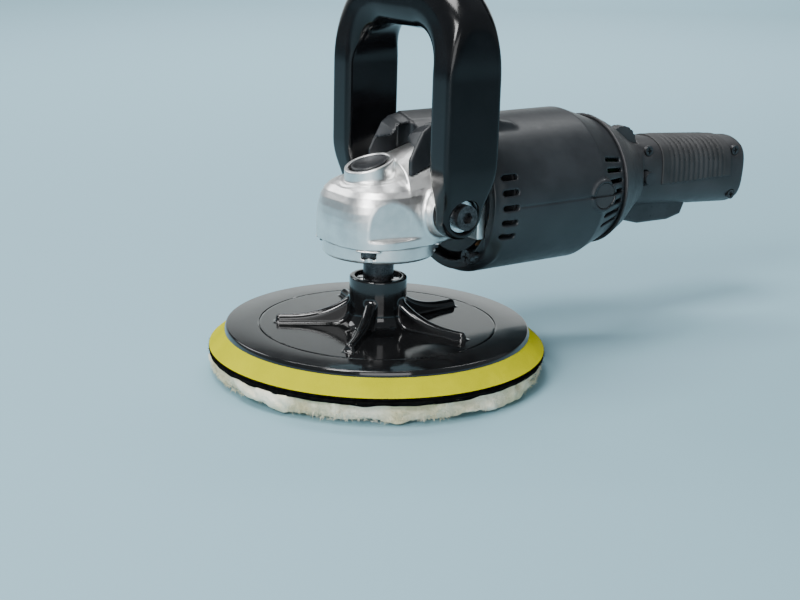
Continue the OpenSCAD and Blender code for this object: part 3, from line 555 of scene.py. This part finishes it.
def make_backing_plate():
    low = np.array([-GROOVE_R, -GROOVE_R, PLATE_TOP - 1.5])
    high = np.array([GROOVE_R, GROOVE_R, HUB_TOP])
    verts, faces = surface_nets(hub_field, low, high, 0.6)
    under = foam_high[2]
    ring = arc((PLATE_R - 1.1, PLATE_TOP - 0.9), 0.9, 90, 20, 5)
    profile = ([(2.0, under)] + [(PLATE_R + 0.35, under), (PLATE_R + 0.4, under + 0.3)] + ring[::-1]
               + [(GROOVE_R + 0.75, PLATE_TOP), (GROOVE_R + 0.55, PLATE_TOP - 0.15),
                  (GROOVE_R + 0.45, PLATE_TOP - 0.7), (GROOVE_R - 1, PLATE_TOP - 0.75),
                  (GROOVE_R - 1, PLATE_TOP - 1.45), (2.0, PLATE_TOP - 1.45)])
    ring_verts, ring_faces = lathe(profile, 256)
    verts = np.concatenate([verts, ring_verts])
    faces = np.concatenate([faces, ring_faces + len(verts) - len(ring_verts)])
    mesh = mesh_from("plate_moulding", verts, faces)
    return link("plate_moulding", mesh, PLATE_GLOSS, "spindle_pad", ["backing_plate"], 28)


def make_foam():
    """Foam ring with a slightly hollow slanted side."""
    side = []
    for t in np.linspace(0, 1, 22):
        r = PAD_R + (PLATE_R + 0.35 - PAD_R) * t - 0.35 * math.sin(math.pi * t)
        side.append((r, foam_low[2] + (foam_high[2] - foam_low[2]) * t))
    profile = [(3, foam_low[2]), (PAD_R - 0.5, foam_low[2])] + side + [(3, foam_high[2])]
    verts, faces = lathe(profile, 420)
    rough = 0.10 * value_noise(verts, 1.6, 3) + 0.12 * value_noise(verts, 5.0, 4)
    out = verts[:, :2] / np.maximum(np.hypot(verts[:, 0], verts[:, 1]), 1)[:, None]
    edge = (np.hypot(verts[:, 0], verts[:, 1]) > 70) & (verts[:, 2] > foam_low[2] + 0.2)
    verts[:, :2] += out * (rough * edge)[:, None]
    mesh = mesh_from("foam_ring", verts, faces)
    piece = link("foam_ring", mesh, FOAM, "spindle_pad", ["foam_pad"])


def make_cloth_layer(name, node, low, high, seed, radius, fuzz, sag=0.0):
    """A disc of fastening cloth whose cut edge frays in short fibres; its lower lip may sag over the wool."""
    thick = high[2] - low[2]
    edge = [(radius - 0.3 + 0.5 * math.sin(math.pi * t), low[2] + thick * t) for t in np.linspace(0, 1, 7)]
    verts, faces = lathe([(3, low[2]), (radius - 3, low[2])] + edge + [(3, high[2])], 420)
    reach = np.hypot(verts[:, 0], verts[:, 1])
    lip = (reach > radius - 2) & (verts[:, 2] < low[2] + thick * 0.1)
    verts[:, 2] -= lip * sag * (0.6 + 0.5 * value_noise(verts, 7, seed + 2))
    out = verts[:, :2] / np.maximum(reach, 1)[:, None]
    wave = 0.18 * value_noise(verts, 2.2, seed) + 0.22 * value_noise(verts, 9.0, seed + 1)
    verts[:, :2] += out * (wave * (reach > radius - 2))[:, None]
    verts, faces = add_fibres(verts, faces, low[2], thick, radius, fuzz)
    piece = link(name, mesh_from(name, verts, faces), CLOTH, "spindle_pad", [node], 0)


def strand_mesh(roots, tips, bend, widths):
    """Thin three-sided tapering strands from roots to tips, bowed by bend."""
    count = len(roots)
    axis = tips - roots
    side = np.cross(axis, RNG.normal(size=(count, 3)))
    side /= np.maximum(np.linalg.norm(side, axis=1, keepdims=True), 1e-9)
    other = np.cross(axis, side)
    other /= np.maximum(np.linalg.norm(other, axis=1, keepdims=True), 1e-9)
    rings = []
    for t, w in ((0.0, 1.0), (0.4, 0.85), (0.75, 0.6), (1.0, 0.12)):
        centre = roots + axis * t + bend * math.sin(math.pi * t * 0.9)
        for a in (0, 2 * math.pi / 3, 4 * math.pi / 3):
            rings.append(centre + (side * math.cos(a) + other * math.sin(a)) * (widths * w)[:, None])
    verts = np.stack(rings, axis=1).reshape(-1, 3)
    base = np.arange(count)[:, None] * 12
    faces = []
    for level in range(3):
        for a in range(3):
            b = (a + 1) % 3
            faces.append(np.concatenate([base + level * 3 + a, base + level * 3 + b,
                                         base + level * 3 + 3 + b, base + level * 3 + 3 + a], axis=1))
    return verts, np.concatenate(faces)


def add_fibres(verts, faces, z_low, thick, radius, count):
    """Adds short loose fibres that stand off the cut edge of a cloth disc."""
    angle = RNG.uniform(0, 2 * math.pi, count)
    height = z_low + thick * RNG.uniform(0.1, 0.9, count)
    out = np.stack([np.cos(angle), np.sin(angle), np.zeros(count)], axis=-1)
    roots = out * (radius - 0.3) + np.array([0, 0, 1]) * height[:, None]
    tips = roots + out * RNG.uniform(0.4, 1.0, count)[:, None] + RNG.normal(0, 0.35, (count, 3))
    tips[:, 2] = np.clip(tips[:, 2], z_low - 0.3, z_low + thick + 0.3)
    more, quads = strand_mesh(roots, tips, RNG.normal(0, 0.12, (count, 3)), np.full(count, 0.07))
    return np.concatenate([verts, more]), np.concatenate([faces, quads + len(verts)])


def wool_rise(points, outer):
    """How far the underside of the wool lifts off the floor, most of all at the rim."""
    rise = 3.0 * np.clip(value_noise(points, 15, 14) + 0.2, 0, 1) + 0.9 * np.abs(value_noise(points, 5, 15))
    reach = np.hypot(points[:, 0], points[:, 1]) / outer
    return rise * np.clip((9 - points[:, 2]) / 8, 0, 1) * np.clip(reach, 0, 1) ** 3


def make_wool():
    """Sheepskin bonnet: a lumpy body with curled tufts standing off it."""
    top = wool_high[2]
    outer = PAD_R - 0.4
    core = outer - 8.8
    bottom = [(r, 0.55) for r in np.linspace(3, core - 1, 56)]
    side = [(core + 8.5 * math.cos(a) ** 0.5, WOOL_MIDDLE - WOOL_HALF * math.sin(-a) ** 0.8)
            for a in np.radians(np.arange(-86, 0, 4))]
    side += [(outer - 0.3, 10.6), (outer - 0.6, top)]
    verts, faces = lathe(bottom + side + [(3, top)], 620)
    radius = np.hypot(verts[:, 0], verts[:, 1])
    out = verts[:, :2] / np.maximum(radius, 1)[:, None]
    lump = 2.2 * value_noise(verts, 16, 11) + 1.5 * value_noise(verts, 7, 12)
    lump += 0.6 * value_noise(verts, 3.2, 13)
    rim = np.clip((radius - outer + 16) / 8, 0, 1) * (verts[:, 2] < top - 0.2)
    verts[:, :2] += out * ((np.clip(lump * 1.6, -2.8, 2.2) - 1.0) * rim)[:, None]
    verts[:, 2] += wool_rise(verts, outer)
    count = 15000
    angle = RNG.uniform(0, 2 * math.pi, count)
    level = RNG.uniform(-48, 35, count)
    ca, sa = np.cos(angle), np.sin(angle)
    swell = np.radians(level)
    r = core - 1.2 + 8.4 * np.cos(swell) ** 0.5
    bulge = np.sign(swell) * np.abs(np.sin(swell)) ** 0.8
    z = np.minimum(WOOL_MIDDLE + WOOL_HALF * bulge, top - 1)
    under = RNG.random(count) < 0.42
    r = np.where(under, np.sqrt(RNG.random(count)) * (outer - 22), r)
    z = np.where(under, 1.1, z)
    roots = np.stack([ca * r, sa * r, z], axis=-1)
    roots[:, 2] += wool_rise(roots, outer)
    clump = np.stack([value_noise(roots, 3.2, 20 + i) for i in range(3)], axis=-1)
    way = np.where(under, 0, np.cos(swell))
    normal = np.stack([ca * way, sa * way, np.where(under, -1.0, np.sin(swell))], axis=-1)
    length = RNG.uniform(0.7, 1.7, count) * np.where(under, 0.5, 1.0)
    tips = roots + (normal + clump * 0.9 + RNG.normal(0, 0.25, (count, 3))) * length[:, None]
    tips[:, 2] = np.clip(tips[:, 2], 0.15, top + 0.1)
    reach = np.hypot(tips[:, 0], tips[:, 1])
    tips[:, :2] *= (np.minimum(reach, PAD_R + 1.2) / np.maximum(reach, 1))[:, None]
    curl = np.cross(tips - roots, clump + RNG.normal(0, 0.3, (count, 3))) * 0.45
    curl[:, 2] = np.clip(curl[:, 2], -0.1, 0.4)
    more, quads = strand_mesh(roots, tips, curl, RNG.uniform(0.09, 0.17, count))
    more[:, 2] = np.maximum(more[:, 2], 0.02)
    verts, faces = np.concatenate([verts, more]), np.concatenate([faces, quads + len(verts)])
    mesh = mesh_from("wool_pile", verts, faces)
    piece = link("wool_pile", mesh, WOOL, "spindle_pad", ["wool_bonnet"], 0)


# ---------------------------------------------------------------- bow handle
def bow_field(x, y, z):
    """Front handle: two flat legs that narrow to the bolt eyes and turn into a round grip above."""
    side = np.abs(y)
    rise = smooth_step(BOW_TOP - 52, BOW_TOP - 22, z)
    taper = smooth_step(MOTOR_Z + 28, MOTOR_Z - 2, z)
    thick = BOW_T / 2 + (BOW_GRIP_R - BOW_T / 2) * rise
    depth = BOW_HALF - (BOW_HALF - BOW_GRIP_R) * rise - (BOW_HALF - EYE_R) * taper
    middle = BOW_OUT - BOW_T / 2
    path = rounded_rect(y, z - (BOW_TOP - BOW_GRIP_R - 200), middle, 200, 30)
    corner = 3.2 + 9 * rise
    section = rounded_rect(path, x - BOW_X, thick, depth, corner)
    from_bolt = np.hypot(x - BOW_X, z - MOTOR_Z)
    section = np.maximum(section, np.where(z < MOTOR_Z, from_bolt - EYE_R, -99))
    section = smooth_max(section, side - BOW_OUT + 7 * smooth_step(MOTOR_Z + 26, MOTOR_Z - 6, z), 3.0)
    section = np.maximum(section, np.where(z > BOW_TOP - 55, -99, BOW_OUT - BOW_T - side))
    seat = np.maximum(from_bolt - 9, 42.5 - side)
    return smooth_max(section, -np.minimum(from_bolt - 4.1, seat), 0.5)


def make_bow():
    mesh = field_mesh("bow_moulding", bow_field, bow_low - 0.5, bow_high + 0.5, 0.8)
    return link("bow_moulding", mesh, BOW_GLOSS, "bow", ["bow_handle"], 0)


# ---------------------------------------------------------------- motor housing
def housing_field(x, y, z):
    """Round motor housing with a square front, vents, brush bosses and a two-pronged hood."""
    rho = np.hypot(y, z - MOTOR_Z)
    girth = HOUSING_R - 2.5 * smooth_step(HOUSING_X + 9, HOUSING_X, x) - np.clip(x - TAPER_X, 0, 30) / 3
    body = smooth_max((rho - girth) * 0.97, np.maximum(HOUSING_X - x, x - HOUSING_END), 1.0)
    front = rounded_rect(y, z - MOTOR_Z, FLANGE_HALF, FLANGE_HALF, FLANGE_ROUND)
    front = capped(front, x, HOUSING_X, HOUSING_X + 9, 0.8)
    body = smooth_min(body, front, 3.0)
    side = np.hypot(x - BRUSH_X, z - MOTOR_Z)
    body = smooth_min(body, capped(side - 9, y, -HOUSING_R - 1, HOUSING_R + 1, 1.0), 2.0)
    outline = [(4.9, 106), (4.9, 117), (8, 123), (12.5, 131), (17, 134.2), (24, 135.6), (52, 135.6),
               (72, 131), (80, 120), (72, 106)]
    hood = outline_distance(x, z + 0.055 * np.maximum(HOOD_HALF - np.abs(y), 0) ** 1.6, outline)
    prongs = capped(hood, np.abs(y), 6, HOOD_HALF, 1.6)
    bridge = np.maximum(capped(hood, y, -HOOD_HALF, HOOD_HALF, 1.6), 24 - x)
    hood = smooth_min(prongs, bridge, 2.0)
    roof = z - np.minimum(122.4 + 0.9 * np.maximum(x - 8, 0), 131)
    cavity = np.maximum(np.maximum(np.abs(y) - 17.6, roof), x - 23)
    hood = smooth_max(hood, -cavity, 0.5)
    body = smooth_min(body, hood, 3.0)
    inner = rho - np.where(x < HOUSING_X + 3, HOUSING_R - 7.5, girth - 3)
    hollow = np.maximum(inner, HOUSING_X - 2 - x)
    neck_r = np.where(x < 30, 25.2 + np.clip(x - 3.9, 0, 27) * 7.05 / 26.1, 32.3)
    neck = np.maximum(rho - neck_r, np.maximum(3.9 - x, x - HOUSING_X))
    seat = np.maximum(rounded_rect(y, z - MOTOR_Z, 33.3, 33.3, 11.3), np.abs(x - HOUSING_X + 3) - 3)
    hollow = np.minimum(hollow, np.minimum(neck, seat))
    hollow = np.minimum(hollow, np.maximum(side - 7.2, 30 - np.abs(y)))
    body = smooth_max(body, -hollow, 0.4)
    # exhaust slots near the fan, inlet slots near the brushes
    around = np.degrees(np.arctan2(z - MOTOR_Z, np.abs(y)))
    for x0, x1, pitch, most, half in ((HOUSING_X + 5, HOUSING_X + 15, 11, 2, 1.6),
                                      (HOUSING_END - 26, HOUSING_END - 10, 9, 3, 1.2)):
        near = np.clip(np.round(around / pitch), -most, most) * pitch
        across = rho * np.sin(np.radians(around - near))
        slot = rounded_rect(across, x - (x0 + x1) / 2, half, (x1 - x0) / 2, half)
        slot = np.maximum(slot, np.maximum(26 - rho, np.abs(around - near) - 30))
        body = smooth_max(body, -slot, 0.5)
    # parting line
    groove = np.maximum(np.hypot(z - MOTOR_Z, np.maximum(0, girth - rho)) - 0.5, HOUSING_X + 16 - x)
    return smooth_max(body, -groove, 0.2)


def make_motor_housing():
    low, high = housing_low - 0.5, housing_high + 0.5
    mesh = field_mesh("housing_moulding", housing_field, low, high, 0.8)
    return link("housing_moulding", mesh, HOUSING, "machine", ["motor_housing"], 0)


# ---------------------------------------------------------------- rear handle
def handle_outer(x, y, z, grow=0.0):
    """Collar round the housing, then a straight grip that drops by four degrees."""
    rho = np.hypot(y, z - MOTOR_Z)
    girth = np.interp(x, [HOUSING_END - 8, HOUSING_END + 2, HOUSING_END + 22], [38, 33.5, 21])
    span = np.maximum(HOUSING_END - 8 - x, x - HOUSING_END - 21.9)
    collar = smooth_max((rho - girth - grow) * 0.9, span, 0.8)
    tilt = math.radians(4)
    u, w = x - HOUSING_END - 16, z - MOTOR_Z - 2
    along = u * math.cos(tilt) - w * math.sin(tilt)
    up = u * math.sin(tilt) + w * math.cos(tilt)
    round_bar = np.hypot(y, up) - 21 - grow
    bar = smooth_max(round_bar, np.abs(y) - 17.5 - grow, 5.0)
    bar = smooth_max(bar, np.maximum(-along, along - 98), 5.0)
    return smooth_min(collar, bar, 4.0)


def handle_field(side):
    """One half of the rear handle shell: side is 1 for the left half and -1 for the right."""
    def field(x, y, z):
        outer = handle_outer(x, y, z)
        body = np.maximum(outer, -(outer + 2.6))
        for px, pz in SCREW_POINTS:
            post = np.hypot(x - px, z - pz)
            body = np.minimum(body, np.maximum(post - 4, np.maximum(np.abs(y) - 14, outer)))
            body = np.maximum(body, 1.65 - post)
        rho = np.hypot(y, z - MOTOR_Z)
        body = np.maximum(body, -np.maximum(rho - HOUSING_R - 0.2 + (x - TAPER_X) / 3, x - HOUSING_END))
        gland = np.hypot(y, z - (MOTOR_Z - 5) + 0.07 * (x - HANDLE_END + 13)) - 6.3
        body = np.maximum(body, -np.maximum(gland, HANDLE_END - 14 - x))
        mouth = rounded_rect(x - HOUSING_END - 44, y, 32, 7.6, 3)
        body = smooth_max(body, -np.maximum(mouth, z - MOTOR_Z + 6), 0.6)
        lock = np.hypot(x - HOUSING_END - 26, z - MOTOR_Z) - 4.5
        body = smooth_max(body, -np.maximum(lock, y), 0.5)
        slit = rounded_rect(x - HOUSING_END - 12, y + 7.5, 12.6, 3.9, 1)
        body = smooth_max(body, -np.maximum(slit, MOTOR_Z + 5 - z), 0.5)
        if side < 0:
            for px, pz in SCREW_POINTS:
                body = smooth_max(body, -np.maximum(np.hypot(x - px, z - pz) - 3.3, y + 14.1), 0.3)
        seam = 0.35 - np.abs(y)
        body = smooth_max(body, np.minimum(seam, outer + 0.45), 0.2)
        return np.maximum(body, 0.02 - side * y)
    return field


def make_handle():
    for side, name, low, high in ((1, "left", shell_low, shell_high), (-1, "right", right_low, right_high)):
        mesh = field_mesh(f"handle_half_{name}", handle_field(side), low - 0.5, high + 0.5, 0.8)
        link(f"handle_half_{name}", mesh, HANDLE, "machine", [f"handle_shell_{name}"], 0)


def grip_field(x, y, z):
    """Soft over-moulding with shallow ribs across the hand."""
    ribs = 0.28 * np.cos(2 * math.pi * (x - grip_low[0]) / 4.2)
    ribs = ribs * smooth_step(grip_low[0] + 4, grip_low[0] + 9, x)
    ribs = ribs * smooth_step(grip_high[0] - 4, grip_high[0] - 9, x)
    skin = handle_outer(x, y, z, 0.8) - ribs
    ends = np.maximum(grip_low[0] - x, x - grip_high[0])
    lower = MOTOR_Z - 6 - z
    body = smooth_max(skin, np.maximum(ends, lower), 1.2)
    return np.maximum(body, -(handle_outer(x, y, z) - 0.02))


def make_soft_grip():
    mesh = field_mesh("grip_moulding", grip_field, grip_low - 0.5, grip_high + 0.5, 0.55)
    return link("grip_moulding", mesh, RUBBER, "machine", ["soft_grip"], 0)


def trigger_field(x, y, z):
    """Paddle trigger with a hollowed finger face."""
    x0, z0 = trigger_low[0], trigger_high[2] - 4.5
    outline = [(x0, z0 + 4.4), (x0, z0 - 4), (x0 + 4, z0 - 9), (x0 + 20, z0 - 13.2), (x0 + 45, z0 - 13.7),
               (x0 + 56, z0 - 11.3), (x0 + 59, z0 - 5), (x0 + 59, z0 + 1), (x0 + 10, z0 + 4.4)]
    side = outline_distance(x, z, outline)
    body = capped(side, y, -6.8, 6.8, 1.8)
    return np.maximum(body, 1.6 - np.hypot(x - x0 - 5, z - z0))


def make_trigger():
    mesh = field_mesh("trigger_moulding", trigger_field, trigger_low - 0.5, trigger_high + 0.5, 0.5)
    return link("trigger_moulding", mesh, BUTTON, "trigger_lever", ["trigger"], 0)


# ---------------------------------------------------------------- return springs
def make_spring(name, node, turns=4):
    """A wire coil that fills the box of its CAD node, built on a mesh of its own."""
    low, high = box_mm(node)
    middle, length = (low + high) / 2, high[2] - low[2]
    wire, sides = 0.3, 8
    share = np.linspace(0, 1, turns * 32 + 1)
    angle = 2 * math.pi * turns * share
    out = np.stack([np.cos(angle), np.sin(angle), 0 * angle], axis=-1)
    path = out * ((high[0] - low[0]) / 2 - wire) + [middle[0], middle[1], 0]
    path[:, 2] = low[2] + wire + (length - 2 * wire) * share
    verts = np.concatenate([path + wire * (math.cos(a) * out + [0, 0, math.sin(a)])
                            for a in np.linspace(0, 2 * math.pi, sides, endpoint=False)])
    count = len(path)
    faces = [(k * count + i, k * count + i + 1, (k + 1) % sides * count + i + 1, (k + 1) % sides * count + i)
             for k in range(sides) for i in range(count - 1)]
    for ring, order in ((0, 1), (count - 1, -1)):
        for cap in ((0, 1, 2, 3), (0, 3, 4, 7), (4, 5, 6, 7)):
            faces.append(tuple(k * count + ring for k in cap[::order]))
    piece = link(name, mesh_from(name, verts, faces), STEEL, "machine", [node], 60)
    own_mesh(piece)


# ---------------------------------------------------------------- CAD nodes shown as they are
def dress_cad_nodes():
    """Gives every CAD node that stays in view its finish and softened edges."""
    slots = {s["node"]: s.get("material_slot") or s.get("slot") for s in frame["record"]["subparts"]}
    for name, node in frame["nodes"].items():
        if node.hide_render:
            continue
        node.data.materials.clear()
        node.data.materials.append(SLOT_MATERIALS[slots[name]])
        edges = node.modifiers.new("edges", "BEVEL")
        edges.width = 0.00012
        edges.segments = 2
        edges.limit_method = "ANGLE"
        edges.angle_limit = math.radians(35)


# ---------------------------------------------------------------- set
def make_floor():
    """A pale sheet that runs back under the object and curves up into a darker backdrop."""
    run = [(-7000, 0), (2300, 0)] + [(2300 + 500 * math.sin(a), 500 - 500 * math.cos(a))
                                     for a in np.radians(np.arange(6, 91, 6))] + [(2800, 2600)]
    heading = math.radians(54)
    steps = 60
    wide = np.linspace(-7000, 7000, steps + 1)
    verts = []
    for along, up in run:
        for across in wide:
            verts.append((along * math.cos(heading) - across * math.sin(heading),
                          along * math.sin(heading) + across * math.cos(heading), up - 0.02))
    i, j = np.meshgrid(np.arange(len(run) - 1), np.arange(steps), indexing="ij")
    a = (i * (steps + 1) + j).ravel()
    faces = np.stack([a, a + steps + 1, a + steps + 2, a + 1], axis=-1)
    mesh = mesh_from("floor", verts, faces)
    mesh.polygons.foreach_set("use_smooth", [True] * len(mesh.polygons))
    floor = bpy.data.objects.new("floor", mesh)
    bpy.context.scene.collection.objects.link(floor)
    mat, tree, bsdf = shader("floor_sheet", (0.4, 0.5, 0.55), 0.8)
    coord = tree.nodes.new("ShaderNodeTexCoord")
    split = tree.nodes.new("ShaderNodeSeparateXYZ")
    tree.links.new(coord.outputs["Object"], split.inputs["Vector"])
    climb = remap(tree, split.outputs["Z"], 0.0, 1.0, 0.0, 1.2)
    uneven = noise(tree, 3, 3.0, 0.5)
    mixed = tree.nodes.new("ShaderNodeMath")
    mixed.operation = "MULTIPLY_ADD"
    mixed.inputs[1].default_value = 0.03
    tree.links.new(uneven, mixed.inputs[0])
    tree.links.new(climb, mixed.inputs[2])
    tint(tree, bsdf, mixed.outputs["Value"], (0.25, 0.42, 0.50), (0.03, 0.033, 0.036), 0.0, 1.0)
    ramp = bsdf.inputs["Base Color"].links[0].from_node.color_ramp
    middle = (0.62, 0.62, 0.60, 1)
    for place, colour in ((0.06, (0.25, 0.42, 0.50, 1)), (0.16, middle), (0.60, middle)):
        ramp.elements.new(place).color = colour
    bump(tree, bsdf, noise(tree, 400, 3.0), 0.1, 0.00005)
    floor.data.materials.append(mat)


def area_light(name, place, target, size, watts, color):
    """A rectangular softbox that points at the target, in metres."""
    data = bpy.data.lights.new(name, "AREA")
    data.shape = "RECTANGLE"
    data.size, data.size_y = size
    data.energy = watts
    data.color = color
    lamp = bpy.data.objects.new(name, data)
    lamp.location = place
    lamp.rotation_euler = (Vector(target) - Vector(place)).to_track_quat("-Z", "Y").to_euler()
    bpy.context.scene.collection.objects.link(lamp)


def make_lights():
    """Softboxes above, at the key side, behind and in front, and one for the backdrop."""
    area_light("top", (-0.35, -0.1, 1.25), (0, 0, 0.08), (0.5, 0.5), 14, (1.0, 1.0, 0.99))
    area_light("key", (-1.1, -0.55, 0.85), (0, 0, 0.06), (0.4, 0.4), 15, (1.0, 1.0, 0.99))
    area_light("back", (-0.5, 1.3, 1.0), (0, 0, 0.1), (0.8, 0.6), 8, (0.97, 0.99, 1.0))
    area_light("front", (-0.6, -1.1, 0.30), (0, 0, 0.12), (0.8, 0.45), 4, (1.0, 1.0, 1.0))
    area_light("sweep", (0.8, 0.9, 1.9), (1.5, 2.1, 0.3), (2.0, 0.8), 90, (0.97, 0.99, 1.0))
    world = bpy.data.worlds.new("studio")
    bpy.context.scene.world = world
    world.use_nodes = True
    sky = world.node_tree.nodes["Background"]
    sky.inputs["Color"].default_value = (0.80, 0.92, 1.0, 1)
    sky.inputs["Strength"].default_value = 0.28


def make_camera():
    """The view from the front left, looking slightly down on the pad."""
    data = bpy.data.cameras.new("camera")
    data.lens = 64.4
    data.sensor_width = 36
    camera = bpy.data.objects.new("camera", data)
    ahead = Vector((0.5629, 0.7768, -0.2822)).normalized()
    right = Vector((0.8139, -0.5805, 0.0258))
    right = (right - ahead * right.dot(ahead)).normalized()
    above = right.cross(ahead)
    turn = Matrix((right, above, -ahead)).transposed()
    camera.matrix_world = Matrix.Translation((-0.4225, -0.6034, 0.2553)) @ turn.to_4x4()
    bpy.context.scene.collection.objects.link(camera)
    bpy.context.scene.camera = camera


make_gear_housing()
make_bearing_cover()
make_lock_button()
make_backing_plate()
make_foam()
make_cloth_layer("hook_disc", "hook_layer", hook_low, hook_high, 31, PAD_R - 0.4, 5000)
make_cloth_layer("loop_disc", "bonnet_backing", loop_low, loop_high, 41, PAD_R - 0.1, 2500, sag=1.5)
make_wool()
make_bow()
make_motor_housing()
make_handle()
make_soft_grip()
make_trigger()
make_spring("lock_coil", "lock_spring")
make_spring("trigger_coil", "trigger_spring")
dress_cad_nodes()
make_floor()
make_lights()
make_camera()
